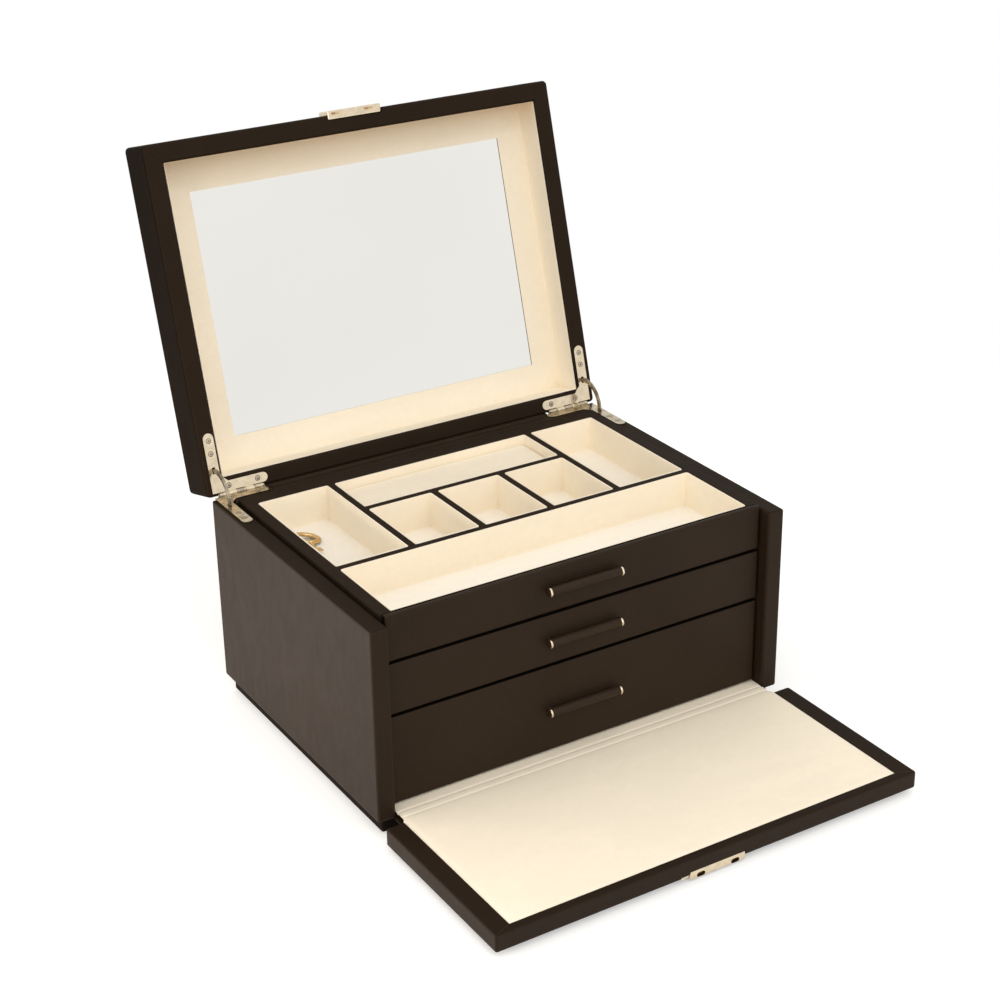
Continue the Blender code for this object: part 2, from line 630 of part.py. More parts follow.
def build_lid(mats, axis, slots):
    leather = mats["leather"]
    hollow_half = COVER_HALF - LID_SIDE_WALL
    hollow_front = LID_FRONT + LID_FRONT_WALL
    hollow_rear = LID_REAR - LID_REAR_WALL
    hollow_top = LID_RIM + LID_HOLLOW
    tub = shell((-COVER_HALF, COVER_HALF, LID_FRONT, LID_REAR),
                (-hollow_half, hollow_half, hollow_front, hollow_rear), LID_RIM, hollow_top, LID_TOP)
    round_outside(tub, LID_RIM, LID_TOP, LID_ROUND, EDGE_ROUND)
    frame = add("lid_frame", tub, leather, axis)
    smooth(frame)
    half_turn = LID_OPEN_ANGLE / 2
    lid_slots = {}
    for side, word in ((-1, "left"), (1, "right")):
        lid_slots[side] = stay_slot(f"lid_slot_{word}", side, -STAY_OVERLAP - STAY_SLOT_SPARE,
                                    half_turn + STAY_OVERLAP + STAY_SLOT_SPARE, axis)
        boolean(frame, lid_slots[side])
        near, far = barrel_ends()
        room = PIN_HEAD_LENGTH + KNUCKLE_SPACING + SEAT_GAP
        groove_start = min(side * (near - room), side * (far + room))
        groove = rod(KNUCKLE_RADIUS + SEAT_GAP, far - near + room * 2, (groove_start, AXIS_Y, AXIS_Z),
                     (1, 0, 0), 20)
        boolean(frame, tool(f"lid_barrel_groove_{word}", groove, axis))

    half = hollow_half - SEAT_GAP
    front = hollow_front + SEAT_GAP
    rear = hollow_rear - SEAT_GAP
    foot = LID_RIM + LINING_SETBACK
    top = hollow_top - SEAT_GAP
    lining = add("lid_lining", block(-half, half, front, rear, foot, top), mats["suede"], axis)
    room = tool("lid_lining_room", block(-half + LINING_WALL, half - LINING_WALL, front + LINING_WALL,
                                         rear - LINING_WALL, foot - CUT_OVERRUN, top - MAT_THICK), axis)
    boolean(lining, room)
    mirror_half = half - MIRROR_SIDE_MARGIN + SEAT_GAP
    mirror_front = front + MIRROR_END_MARGIN
    mirror_rear = rear - MIRROR_END_MARGIN
    window = tool("lid_mat_window", block(-mirror_half - SEAT_GAP, mirror_half + SEAT_GAP,
                                          mirror_front - SEAT_GAP, mirror_rear + SEAT_GAP,
                                          foot - CUT_OVERRUN, top + CUT_OVERRUN), axis)
    boolean(lining, window)
    add("mirror", block(-mirror_half, mirror_half, mirror_front, mirror_rear, top - MIRROR_THICK, top),
        mats["mirror"], axis)

    catch_foot = LID_RIM + SEAT_GAP
    catch_half = LOCK_WIDTH / 2
    seat = block(-catch_half - SEAT_GAP, catch_half + SEAT_GAP, LID_FRONT - CUT_OVERRUN,
                 CATCH_REAR + SEAT_GAP, LID_RIM - CUT_OVERRUN, catch_foot + CATCH_HEIGHT + SEAT_GAP)
    boolean(frame, tool("catch_seat", seat, axis))
    catch = add("lid_catch", block(-catch_half, catch_half, CATCH_FRONT, CATCH_REAR,
                                   catch_foot, catch_foot + CATCH_HEIGHT), mats["gold"], axis)
    round_edges(catch, LOCK_ROUND)
    hook_mesh = bmesh.new()
    tip = LID_RIM - HOOK_LENGTH
    for side in (-1, 1):
        middle = side * HOLE_SPACING / 2
        left = middle - HOOK_WIDTH / 2
        right = middle + HOOK_WIDTH / 2
        notch_foot = tip + HOOK_WIDTH / 2
        outline = [(left + HOOK_NOTCH, catch_foot + LOCK_ROUND * 2), (left + HOOK_NOTCH, notch_foot),
                   (left, notch_foot), (middle, tip), (right, tip), (right, catch_foot + LOCK_ROUND * 2)]
        one = prism(outline, HOOK_MIDDLE - HOOK_THICK / 2, HOOK_MIDDLE + HOOK_THICK / 2, "Y")
        scratch = bpy.data.meshes.new("hook")
        one.to_mesh(scratch)
        one.free()
        hook_mesh.from_mesh(scratch)
        bpy.data.meshes.remove(scratch)
    boolean(catch, tool("catch_hooks", hook_mesh, axis), "UNION")
    build_hinges(mats, axis, slots, lid_slots)
    build_cover_leather(leather)


def build_cover_leather(leather):
    """The leather across the fold, from the back panel to the open lid's rear wall."""
    def opened(behind, above):
        """A point beside the closed lid's rear bottom edge, moved to where the open lid has it."""
        a = LID_REAR_SPREAD - AXIS_BEHIND + behind
        b = LID_RIM - AXIS_Z + above
        cosine, sine = math.cos(LID_OPEN_ANGLE), math.sin(LID_OPEN_ANGLE)
        return (AXIS_Y + a * cosine + b * sine, AXIS_Z - a * sine + b * cosine)

    near = HALF_DEPTH + SEAT_GAP
    far = near + COVER_LEATHER_THICK
    low = WALL_TOP - COVER_LEATHER_DROP
    rise = WALL_TOP - COVER_LEATHER_THICK
    outer = SEAT_GAP + COVER_LEATHER_THICK
    outline = [(near, low), (near, rise), opened(SEAT_GAP, COVER_LEATHER_THICK / 2),
               opened(SEAT_GAP, COVER_LEATHER_DROP), opened(outer, COVER_LEATHER_DROP),
               opened(outer, COVER_LEATHER_THICK * 2), (far, rise - COVER_LEATHER_THICK), (far, low)]
    half = barrel_ends()[0] - KNUCKLE_SPACING - PIN_HEAD_LENGTH - COVER_LEATHER_END_GAP
    strip = add("lid_spine_leather", prism(outline, -half, half, "X"), leather)
    smooth(strip)


def barrel_ends():
    """Where a hinge barrel starts and ends, outward from the middle."""
    near = HALF_WIDTH - LEAF_SIDE_INSET - REAR_ARM_LENGTH + REAR_ARM_WIDTH / 2 + KNUCKLE_START
    return near, near + KNUCKLE_LENGTH * KNUCKLE_COUNT + KNUCKLE_SPACING * (KNUCKLE_COUNT - 1)


def leaf_outline(arm_length):
    """A hinge leaf's outline for the right side, as (x, y): an L with round ends and a web."""
    rear = AXIS_Y - LEAF_SETBACK
    outer = HALF_WIDTH - LEAF_SIDE_INSET
    inner = outer - ARM_WIDTH
    tip = AXIS_Y - arm_length + ARM_WIDTH / 2
    rear_front = rear - REAR_ARM_WIDTH
    end = outer - REAR_ARM_LENGTH + REAR_ARM_WIDTH / 2
    points = [(outer, rear)]
    points += arc_points(end, rear - REAR_ARM_WIDTH / 2, REAR_ARM_WIDTH / 2, math.pi / 2, math.pi * 1.5, 8)
    points += [(inner - LEAF_WEB, rear_front), (inner, rear_front - LEAF_WEB)]
    points += arc_points((inner + outer) / 2, tip, ARM_WIDTH / 2, math.pi, math.tau, 8)
    return points


def mirrored(points, side):
    return points if side > 0 else [(-a, b) for a, b in reversed(points)]


def build_hinges(mats, axis, slots, lid_slots):
    gold = mats["gold"]
    start, end = barrel_ends()
    barrel = end - start
    case_foot = WALL_TOP + SEAT_GAP
    lid_foot = AXIS_Z + LEAF_GAP / 2
    for side, word in ((-1, "left"), (1, "right")):
        for owner, carrier, foot, arm, slot in (("case", None, case_foot, CASE_ARM_LENGTH, slots[side]),
                                                ("lid", axis, lid_foot, LID_ARM_LENGTH, lid_slots[side])):
            plate = prism(mirrored(leaf_outline(arm), side), foot, foot + LEAF_THICK, "Z")
            leaf = add(f"{owner}_hinge_leaf_{word}", plate, gold, carrier)
            joined = []
            first = 0 if owner == "case" else 1
            for i in range(first, KNUCKLE_COUNT, 2):
                near = start + i * (KNUCKLE_LENGTH + KNUCKLE_SPACING)
                near_x = side * near
                far_x = side * (near + KNUCKLE_LENGTH)
                low, high = min(near_x, far_x), max(near_x, far_x)
                tab = block(low, high, AXIS_Y - LEAF_SETBACK - FINE_ROUND, AXIS_Y - BORE_RADIUS, foot,
                            foot + LEAF_THICK)
                joined.append(tool(f"{owner}_tab_{word}_{i}", tab, carrier))
                tube = rod(KNUCKLE_RADIUS, KNUCKLE_LENGTH, (low, AXIS_Y, AXIS_Z), (1, 0, 0), 20)
                joined.append(tool(f"{owner}_knuckle_{word}_{i}", tube, carrier))
            for piece in joined:
                boolean(leaf, piece, "UNION")
            bore_start = min(side * (start - CUT_OVERRUN), side * (start + barrel + CUT_OVERRUN))
            drill = rod(BORE_RADIUS, barrel + CUT_OVERRUN * 2, (bore_start, AXIS_Y, AXIS_Z), (1, 0, 0), 16)
            boolean(leaf, tool(f"{owner}_bore_{word}", drill, carrier))
            boolean(leaf, slot)
        pin_start = min(side * start, side * (start + barrel)) - KNUCKLE_SPACING
        length = barrel + KNUCKLE_SPACING * 2
        profile = [(-PIN_HEAD_LENGTH, 0), (-PIN_HEAD_LENGTH, PIN_HEAD_RADIUS), (0, PIN_HEAD_RADIUS),
                   (0, PIN_RADIUS), (length, PIN_RADIUS), (length, PIN_HEAD_RADIUS),
                   (length + PIN_HEAD_LENGTH, PIN_HEAD_RADIUS), (length + PIN_HEAD_LENGTH, 0)]
        pin = add(f"hinge_pin_{word}", turned(profile, (pin_start, AXIS_Y, AXIS_Z), (1, 0, 0), 14), gold)
        smooth(pin)


def build_stays(mats):
    """The curved stays; each follows the lid at half its angle."""
    for side, word in ((-1, "left"), (1, "right")):
        band = arc_band(side * STAY_X, STAY_THICK, STAY_RADIUS - STAY_WIDTH / 2,
                        STAY_RADIUS + STAY_WIDTH / 2, -STAY_OVERLAP, LID_OPEN_ANGLE + STAY_OVERLAP, 20)
        carrier = axis_empty(f"stay_axis_{word}", (0, AXIS_Y, AXIS_Z))
        stay = add(f"lid_stay_{word}", band, mats["gold"], carrier)
        smooth(stay)


def build_flap(mats, axis):
    board = add("flap_board", block(-COVER_HALF, COVER_HALF, FLAP_FRONT, FLAP_REAR, FLAP_FOOT, FLAP_TOP),
                mats["leather"], axis)
    round_edges(board, EDGE_ROUND)
    half = COVER_HALF - FLAP_SIDE_BORDER
    recess_foot = FLAP_TOP - FLAP_LINING_THICK - SEAT_GAP
    recess = tool("flap_recess", block(-half, half, FLAP_FRONT + FLAP_FRONT_BORDER, FLAP_REAR + CUT_OVERRUN,
                                       recess_foot, FLAP_TOP + CUT_OVERRUN), axis)
    boolean(board, recess)
    lock_half = LOCK_WIDTH / 2 + SEAT_GAP
    seat = block(-lock_half, lock_half, FLAP_FRONT - CUT_OVERRUN, FLAP_FRONT + LOCK_LENGTH + SEAT_GAP,
                 FLAP_FOOT - CUT_OVERRUN, LOCK_TOP + SEAT_GAP)
    boolean(board, tool("lock_seat_in_flap", seat, axis))
    reach = LOCK_WIDTH / 2 + SLIDE_SHAFT_OUTSIDE + SLIDE_KNOB_LENGTH + SEAT_GAP
    room = SLIDE_KNOB_RADIUS + SEAT_GAP
    seat = block(-reach, -LOCK_WIDTH / 2, FLAP_FRONT - CUT_OVERRUN, FLAP_FRONT + SLIDE_FROM_EDGE + room,
                 FLAP_FOOT - CUT_OVERRUN, SLIDE_MIDDLE + room)
    boolean(board, tool("slide_seat_in_flap", seat, axis))
    lining_foot = recess_foot + SEAT_GAP
    cloth = block(-half + SEAT_GAP, half - SEAT_GAP, FLAP_FRONT + FLAP_FRONT_BORDER + SEAT_GAP, FLAP_REAR,
                  lining_foot, lining_foot + FLAP_LINING_THICK + FLAP_LINING_PROUD)
    lining = add("flap_lining", cloth, mats["suede"], axis)
    smooth(lining)
    build_lock(mats, axis)


def stadium(centre_a, centre_b, length, height):
    """A slot outline with round ends."""
    radius = height / 2
    reach = length / 2 - radius
    return (arc_points(centre_a + reach, centre_b, radius, -math.pi / 2, math.pi / 2, 6)
            + arc_points(centre_a - reach, centre_b, radius, math.pi / 2, math.pi * 1.5, 6))


def build_lock(mats, axis):
    gold = mats["gold"]
    case = add("lock_case", block(-LOCK_WIDTH / 2, LOCK_WIDTH / 2, FLAP_FRONT, FLAP_FRONT + LOCK_LENGTH,
                                  LOCK_FOOT, LOCK_TOP), gold, axis)
    round_edges(case, LOCK_ROUND)
    for side, word in ((-1, "left"), (1, "right")):
        hole = prism(stadium(side * HOLE_SPACING / 2, HOLE_MIDDLE, HOLE_WIDTH, HOLE_HEIGHT),
                     FLAP_FRONT - CUT_OVERRUN, FLAP_FRONT + HOLE_DEPTH, "Y")
        boolean(case, tool(f"lock_hole_{word}", hole, axis))
    middle = FLAP_FRONT + CYLINDER_FROM_EDGE
    seat = rod(CYLINDER_RADIUS + CYLINDER_CLEARANCE, CUT_OVERRUN + CYLINDER_LENGTH + SEAT_GAP * 2,
               (0, middle, LOCK_FOOT - CUT_OVERRUN), (0, 0, 1), 28)
    boolean(case, tool("lock_seat", seat, axis))
    shaft_end = -LOCK_WIDTH / 2 + SLIDE_SHAFT_INSIDE
    bore_length = SLIDE_SHAFT_INSIDE + SLIDE_TRAVEL + SEAT_GAP + CUT_OVERRUN
    slide_line = FLAP_FRONT + SLIDE_FROM_EDGE
    bore_start = (-LOCK_WIDTH / 2 - CUT_OVERRUN, slide_line, SLIDE_MIDDLE)
    bore = rod(SLIDE_SHAFT_RADIUS + SEAT_GAP, bore_length, bore_start, (1, 0, 0), 20)
    boolean(case, tool("lock_slide_bore", bore, axis))

    turn_axis = axis_empty("lock_turn_axis", (0, middle, LOCK_FOOT))
    barrel = rod(CYLINDER_RADIUS, CYLINDER_LENGTH, (0, middle, LOCK_FOOT + SEAT_GAP), (0, 0, 1), 28)
    plug = add("lock_cylinder", barrel, gold, turn_axis)
    keyhole = tool("keyhole", block(-KEYHOLE_WIDTH / 2, KEYHOLE_WIDTH / 2, middle - KEYHOLE_LENGTH / 2,
                                    middle + KEYHOLE_LENGTH / 2, LOCK_FOOT - CUT_OVERRUN,
                                    LOCK_FOOT + SEAT_GAP + KEYHOLE_DEPTH), turn_axis)
    boolean(plug, keyhole)
    smooth(plug)
    outside = SLIDE_SHAFT_OUTSIDE + SLIDE_KNOB_LENGTH
    neck = SLIDE_KNOB_LENGTH
    full = outside + SLIDE_SHAFT_INSIDE
    profile = [(0, 0), (0, SLIDE_KNOB_RADIUS - FINE_ROUND), (FINE_ROUND, SLIDE_KNOB_RADIUS),
               (neck - FINE_ROUND, SLIDE_KNOB_RADIUS), (neck, SLIDE_KNOB_RADIUS - FINE_ROUND),
               (neck, SLIDE_SHAFT_RADIUS), (full, SLIDE_SHAFT_RADIUS), (full, 0)]
    start = (shaft_end - full, slide_line, SLIDE_MIDDLE)
    slide = add("lock_slide", turned(profile, start, (1, 0, 0)), gold, axis_empty("lock_slide_axis", start))
    smooth(slide)


def main():
    clear_scene()
    mats = make_materials()
    lid_axis = axis_empty("lid_axis", (0, AXIS_Y, AXIS_Z), -LID_OPEN_ANGLE)
    flap_axis = axis_empty("flap_axis", (0, FLAP_AXIS_Y, FLAP_AXIS_Z))
    slots = build_case(mats)
    build_low_drawer("bottom_drawer", FLOOR_TOP + SEAT_GAP, BOTTOM_FRONT_FOOT, BOTTOM_FRONT_TOP,
                     LOWER_SHELF_FOOT, BOTTOM_HANDLE_DROP, mats)
    build_low_drawer("middle_drawer", LOWER_SHELF_TOP + SEAT_GAP, MIDDLE_FRONT_FOOT, MIDDLE_FRONT_TOP,
                     UPPER_SHELF_FOOT, MIDDLE_HANDLE_DROP, mats)
    build_top_drawer(mats)
    build_lid(mats, lid_axis, slots)
    build_stays(mats)
    build_flap(mats, flap_axis)
    bpy.context.view_layer.update()


main()
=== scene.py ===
"""Dresses a tiered jewelry box: leather, suede linings, gold fittings, mirror and a photo stage.

Metres, +Z up, the front faces -Y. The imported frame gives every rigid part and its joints.
"""
import json
import math

import bmesh
import bpy
from bpy.props import FloatProperty, FloatVectorProperty, PointerProperty
from mathutils import Matrix, Vector, noise


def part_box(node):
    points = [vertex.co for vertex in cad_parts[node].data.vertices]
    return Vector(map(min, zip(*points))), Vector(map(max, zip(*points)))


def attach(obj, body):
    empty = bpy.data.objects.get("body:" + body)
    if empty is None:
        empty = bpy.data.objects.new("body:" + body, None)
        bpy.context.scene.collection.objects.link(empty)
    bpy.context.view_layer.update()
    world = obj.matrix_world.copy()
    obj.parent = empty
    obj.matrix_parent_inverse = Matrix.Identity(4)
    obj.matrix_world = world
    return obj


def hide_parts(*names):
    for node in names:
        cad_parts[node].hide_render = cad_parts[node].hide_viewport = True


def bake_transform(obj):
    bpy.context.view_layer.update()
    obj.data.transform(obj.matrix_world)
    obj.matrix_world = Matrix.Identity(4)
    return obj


bl_info = {
    "name": "Tiered jewelry box",
    "version": (1, 0, 0),
    "blender": (4, 5, 0),
    "location": "View3D > Sidebar > Jewelry Box",
    "description": "Covers, linings, fittings and a stage for a tiered jewelry box",
    "category": "Object",
}

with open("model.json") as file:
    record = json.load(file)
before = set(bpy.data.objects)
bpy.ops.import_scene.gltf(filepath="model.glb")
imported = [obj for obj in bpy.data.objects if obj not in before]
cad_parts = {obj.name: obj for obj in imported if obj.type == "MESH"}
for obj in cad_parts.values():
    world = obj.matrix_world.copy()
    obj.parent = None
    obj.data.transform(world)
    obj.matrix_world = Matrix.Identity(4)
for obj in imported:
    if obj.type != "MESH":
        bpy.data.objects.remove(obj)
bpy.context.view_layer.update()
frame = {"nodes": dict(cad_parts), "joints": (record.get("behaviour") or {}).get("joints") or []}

# Finishes of the pieces that come from the frame
COVERED_NODES = {
    "calf_leather": ("side_panel_left", "side_panel_right", "back_panel", "floor_board", "flap_board",
                     "bottom_drawer_front", "middle_drawer_front", "top_drawer_front"),
    # Plinth, lid and tray rim in darker copies of the leather: painted shade
    "plinth_leather": ("base_plinth",),
    "lid_leather": ("lid_frame",),
    "rim_leather": ("top_drawer_rim",),
    # The boards' cloth darkened, partly its own tone and partly painted shade in the gaps between the
    # drawers
    "board_cloth": ("shelf_lower", "shelf_upper", "bottom_drawer_body", "middle_drawer_body",
                    "top_drawer_body"),
}
PLATED_NODES = {
    "pale_gold": ("lid_hinge_leaf_left", "lid_hinge_leaf_right", "lid_catch", "lock_case", "lock_slide",
                  "lock_cylinder"),
    # Case leaves and pins darker, stays darker still: painted shade
    "worn_gold": ("case_hinge_leaf_left", "case_hinge_leaf_right", "hinge_pin_left", "hinge_pin_right"),
    "stay_gold": ("lid_stay_left", "lid_stay_right"),
    "mirror_silver": ("mirror",),
}
DRAWERS = ("bottom_drawer", "middle_drawer", "top_drawer")
SIDES = ((-1, "left"), (1, "right"))

# A face is chosen when its normal looks this far along an axis, and none looks as far as NEVER
TURNED = 0.6
NEVER = 2.0
LINING_FLOOR = 0.9
MIRROR_BORDER_TOP = 0.8

# Grain size of the leathers and the brush marks of metals
GRAIN = 0.00085
FINE_GRAIN = 0.0006
LONG_BRUSH = (40.0, 900.0, 900.0)
KEY_BRUSH = (300.0, 300.0, 40.0)
ROUND_BRUSH = (500.0, 500.0, 500.0)
# Suede tints: darker and warmer for painted shade, paler by a share for painted light, and the heights over
# which the lid's lining darkens as painted shade
SHADE_TINT = (0.74, 0.62, 0.48)
LIT_TINT = (0.905, 0.885, 0.840)
LIT_SHARE = 0.55
LID_SHADE_HEIGHTS = (0.346, 0.384)

# A handle: a leather grip between two gold rings, on two feet
GRIP_RADIUS = 0.0030
GRIP_OUT = 0.0043
GRIP_PAST_RING = 0.0012
GRIP_ROUND = 0.0006
RING_RADIUS = 0.0034
RING_PLACE = 0.0278
RING_SINK = 0.0004
RING_HALF = 0.0007
RING_ROUND = 0.0002
FOOT_RADIUS = 0.0018
FOOT_START = 0.0010
FOOT_INSET = 0.0022
HANDLE_STEPS = 32

# The tray's lattice, as the frame has it
FRONT_BAR = 0.0012
SIDE_RIM = 0.0082
REAR_RIM = 0.0138
DIVIDER = 0.005
FRONT_POCKET = 0.0674
SIDE_POCKET = 0.054
REAR_POCKET = 0.0454
TRAY_FLOOR = 0.1273
RIM_CLEARANCE = 0.0001

# The ring pad: its margin in the lining, its rounding and how finely it is divided
PAD_MARGIN = 0.0002
PAD_ROUND = 0.0030
PAD_BUNCHING = 1.6
PAD_DIMPLE = 0.00012

# The lid, drawn closed and turned open about its hinge
LID_HINGE = next(j for j in frame["joints"] if j["name"] == "lid_hinge")
LID_PIVOT = Vector(LID_HINGE["pos_m"])
LID_TURN = math.radians(LID_HINGE["range_deg"][0])
LID_OPENING = (Matrix.Translation(LID_PIVOT) @ Matrix.Rotation(LID_TURN, 4, "X")
               @ Matrix.Translation(-LID_PIVOT))
MAT_DEPTH = 0.0029
LID_CARD = 0.00035
LID_FLOOR_EDGE_SHARE = 0.6
MIRROR_LAP = 0.0005
MIRROR_GAP = 0.0004

# The lid's fold, drawn a little inside the frame's own
FOLD_GAP = 0.0002
FOLD_BACK_GAP = 0.0003
FOLD_RISE = 0.0011
FOLD_REACH = 0.0092
FOLD_DROP = 0.0029
FOLD_CORNER = 0.0009

# The flap's cloth: (distance towards the front, depth under its flat) from the sill to the flap
CLOTH_KNOTS = ((0.1075, 0.0001), (0.1132, 0.0001), (0.1150, 0.0005), (0.1168, 0.0), (0.1200, 0.0),
               (0.1216, 0.0004), (0.1234, 0.0001), (0.1275, 0.0))
CLOTH_SINK = 0.00005
CLOTH_REAR_DIP = 0.0003
CLOTH_ROW = 0.0006
CLOTH_FINE_TO = 0.130
CLOTH_FLAP_ROWS = 46
WIDENS_AT = 0.1225
WIDENS_OVER = 0.0035
FRAY = 0.0007
TURN_IN = 0.0016
TURN_DOWN = 0.0005

# The leather outside the flap's fold: heights under its top by share of its length
SPINE_INSET = 0.0120
SPINE_SAG = ((0.0, 0.0), (0.2, 0.0), (0.45, 0.0002), (0.55, 0.0002), (0.8, 0.0), (1.0, 0.0))

# Base felt
FELT_CORNER = 0.004
FELT_EDGE = 0.0002

# Screws: (distance from the middle, distance in front of the hinge) on the lid and the case
HINGE_ARM = 0.1537
LID_SCREWS = ((HINGE_ARM, 0.0391), (HINGE_ARM, 0.0300), (0.1448, 0.0057), (0.1228, 0.0057))
CASE_SCREWS = ((HINGE_ARM, 0.0412), (HINGE_ARM, 0.0318), (0.1448, 0.0057), (0.1228, 0.0057))
LID_LEAF_FACE = 0.00015
CASE_LEAF_FACE = 0.0009
LID_SCREW_TURNS = (0.5, 1.1)
CASE_SCREW_TURNS = (0.9, 0.8)
HEAD_SHARE = 0.76
HEAD_PROUD = 0.00013
# Height of the near-black disc under each head: painted shade of the countersink
SHADE_RING_PROUD = 0.00003
CROSS_HALF_SHARE = 0.16
CROSS_REACH_SHARE = 0.62

# The key, drawn along X from the middle of its bow
KEY_WIRE = 0.0015
KEY_PLACE = (0.0103, 0.0096)
KEY_TURN = math.radians(-97)
KEY_TILT = math.radians(-14)
BOW_RADIUS = 0.0074
BOW_OVAL = (0.92, 1.15, 1.0)
BOW_WIDTH = 1.35
STEM_START = 0.0066
STEM_END = 0.0215
STEM_RADIUS = 0.0013
COLLAR_SHARE = 1.45
TEETH = ((0.0170, 0.0183, 0.0042), (0.0191, 0.0205, 0.0050))
TOOTH_HALF = 0.0006
TOOTH_ROUND = 0.0002

# Folded seams
SEAM_START = 0.0006
SEAM_END = 0.0022
SEAM_HEIGHT = 0.00016

# Stage: lamps as (name, place, target, sides, power, colour), the floor's tones and the camera
LAMPS = (("lamp_overhead", (-0.15, -0.25, 1.30), (0, 0, 0.1), (1.1, 1.1), 2.2, (1.0, 1.0, 1.0)),
         ("lamp_front", (-0.10, -1.15, 0.75), (0, 0, 0.08), (0.8, 0.8), 2.8, (1.0, 1.0, 1.0)),
         ("lamp_left", (-0.50, 0.03, 0.12), (0, 0.03, 0.05), (0.5, 0.16), 1.2, (1.0, 0.90, 0.80)))
FLOOR_DROP = 0.0001
FLOOR_LIT = (0.30, 0.30, 0.30)
FLOOR_SEEN = (0.80, 0.79, 0.77)
FLOOR_GLOW = 0.36
WHITE_BEYOND = (0.42, 0.85)
WHITE = (1.0, 1.0, 1.0, 1.0)
CAMERA_PLACE = (-0.6613, -1.0858, 0.7439)
CAMERA_RIGHT = (0.84925, -0.52781, -0.01393)
CAMERA_UP = (0.23308, 0.35111, 0.90686)
CAMERA_BACK = (-0.47376, -0.77340, 0.42120)
CAMERA_LENS = 73.68
CAMERA_SENSOR = 36.0


def colour_of(name, description, default):
    """A colour in the panel."""
    return FloatVectorProperty(name=name, description=description, subtype="COLOR", default=default,
                               min=0, max=1)


def length_of(name, description, default, lowest, highest):
    """A length in the panel."""
    return FloatProperty(name=name, description=description, unit="LENGTH", default=default,
                         min=lowest, max=highest)


class JewelBoxFinishes(bpy.types.PropertyGroup):
    """Colours and gloss of the box's materials."""
    leather: colour_of("Leather", "Dark leather of the case, lid and fronts", (0.0246, 0.0149, 0.0084))
    leather_roughness: FloatProperty(name="Leather roughness", description="How dull the leather is",
                                     subtype="FACTOR", default=0.46, min=0, max=1)
    suede: colour_of("Suede", "Cream suede of the linings", (0.905, 0.805, 0.640))
    gold: colour_of("Gold", "Pale gold of hinges, lock and handle ends", (0.745, 0.625, 0.450))
    brass: colour_of("Brass", "Warmer brass of the key", (0.640, 0.440, 0.200))
    screw: colour_of("Screws", "Darker metal of the screws", (0.560, 0.480, 0.360))
    silver: colour_of("Mirror", "Silver of the mirror", (0.830, 0.815, 0.770))
    felt: colour_of("Felt", "Felt under the base", (0.020, 0.017, 0.015))


class JewelBoxSizes(bpy.types.PropertyGroup):
    """Sizes of the soft pieces and small trim."""
    lining: length_of("Lining", "Thickness of the suede-covered card", 0.0009, 0.0004, 0.003)
    lip: length_of("Lining lip", "How far a lining stands inside its rim", 0.00105, 0, 0.002)
    corner: length_of("Corner radius", "Roundness of a lining's upright corners", 0.0007, 0.0002, 0.01)
    floor_edge: length_of("Floor radius", "Roundness where a lining turns up from its floor", 0.0014,
                          0.0002, 0.01)
    pad_crown: length_of("Pad crown", "How much the ring pad rises in its middle", 0.0008, 0, 0.004)
    strip: length_of("Strip", "Thickness of the suede over the flap's fold", 0.0009, 0.0003, 0.003)
    fold: length_of("Lid fold", "Thickness of the leather behind the lid", 0.0007, 0.0003, 0.002)
    spine: length_of("Spine", "Thickness of the leather outside the flap's fold", 0.0011, 0.0003, 0.003)
    screw: length_of("Screw head", "Radius of a screw head", 0.0020, 0.0008, 0.003)
    seam: length_of("Corner seam", "Width of a folded leather seam", 0.0007, 0.0002, 0.002)


def put(tree, kind, values=None, **settings):
    """Adds a node with its settings. Each of its sockets takes a value or a link."""
    node = tree.nodes.new(kind)
    for key, value in settings.items():
        setattr(node, key, value)
    for key, value in (values or {}).items():
        if isinstance(value, bpy.types.NodeSocket):
            tree.links.new(value, node.inputs[key])
        else:
            node.inputs[key].default_value = value
    return node


def new_finish(name, roughness, metallic=0.0, specular=0.5):
    """A Principled material with its tree, shader and object coordinates."""
    mat = bpy.data.materials.new(name)
    mat.use_nodes = True
    tree = mat.node_tree
    shader = tree.nodes["Principled BSDF"]
    shader.inputs["Roughness"].default_value = roughness
    shader.inputs["Metallic"].default_value = metallic
    shader.inputs["Specular IOR Level"].default_value = specular
    coords = put(tree, "ShaderNodeTexCoord").outputs["Object"]
    return mat, tree, shader, coords


def stretched(tree, coords, scale):
    """Coordinates scaled apart along the three axes."""
    return put(tree, "ShaderNodeMapping", {"Scale": scale, "Vector": coords}).outputs["Vector"]


def noise_of(tree, coords, scale, detail=3.0, roughness=0.5, distortion=0.0):
    values = {"Scale": scale, "Detail": detail, "Roughness": roughness, "Distortion": distortion}
    return put(tree, "ShaderNodeTexNoise", {**values, "Vector": coords}).outputs["Fac"]


def cells_of(tree, coords, scale):
    values = {"Scale": scale, "Vector": coords}
    return put(tree, "ShaderNodeTexVoronoi", values, feature="F1").outputs["Distance"]


def remap(tree, value, span, reach):
    """A value's span stretched to another one."""
    values = {"From Min": span[0], "From Max": span[1], "To Min": reach[0], "To Max": reach[1]}
    return put(tree, "ShaderNodeMapRange", {**values, "Value": value}).outputs["Result"]


def mix_colours(tree, factor, first, second):
    """A mix of two colours, each a colour or another node's output."""
    ends = [c if isinstance(c, bpy.types.NodeSocket) else (*c, 1.0) for c in (first, second)]
    values = {0: factor, 6: ends[0], 7: ends[1]}
    return put(tree, "ShaderNodeMix", values, data_type="RGBA").outputs[2]


def between(tree, value, span, first, second, reach=(0, 1)):
    """From the first colour to the second as a value runs through its span."""
    return mix_colours(tree, remap(tree, value, span, reach), first, second)


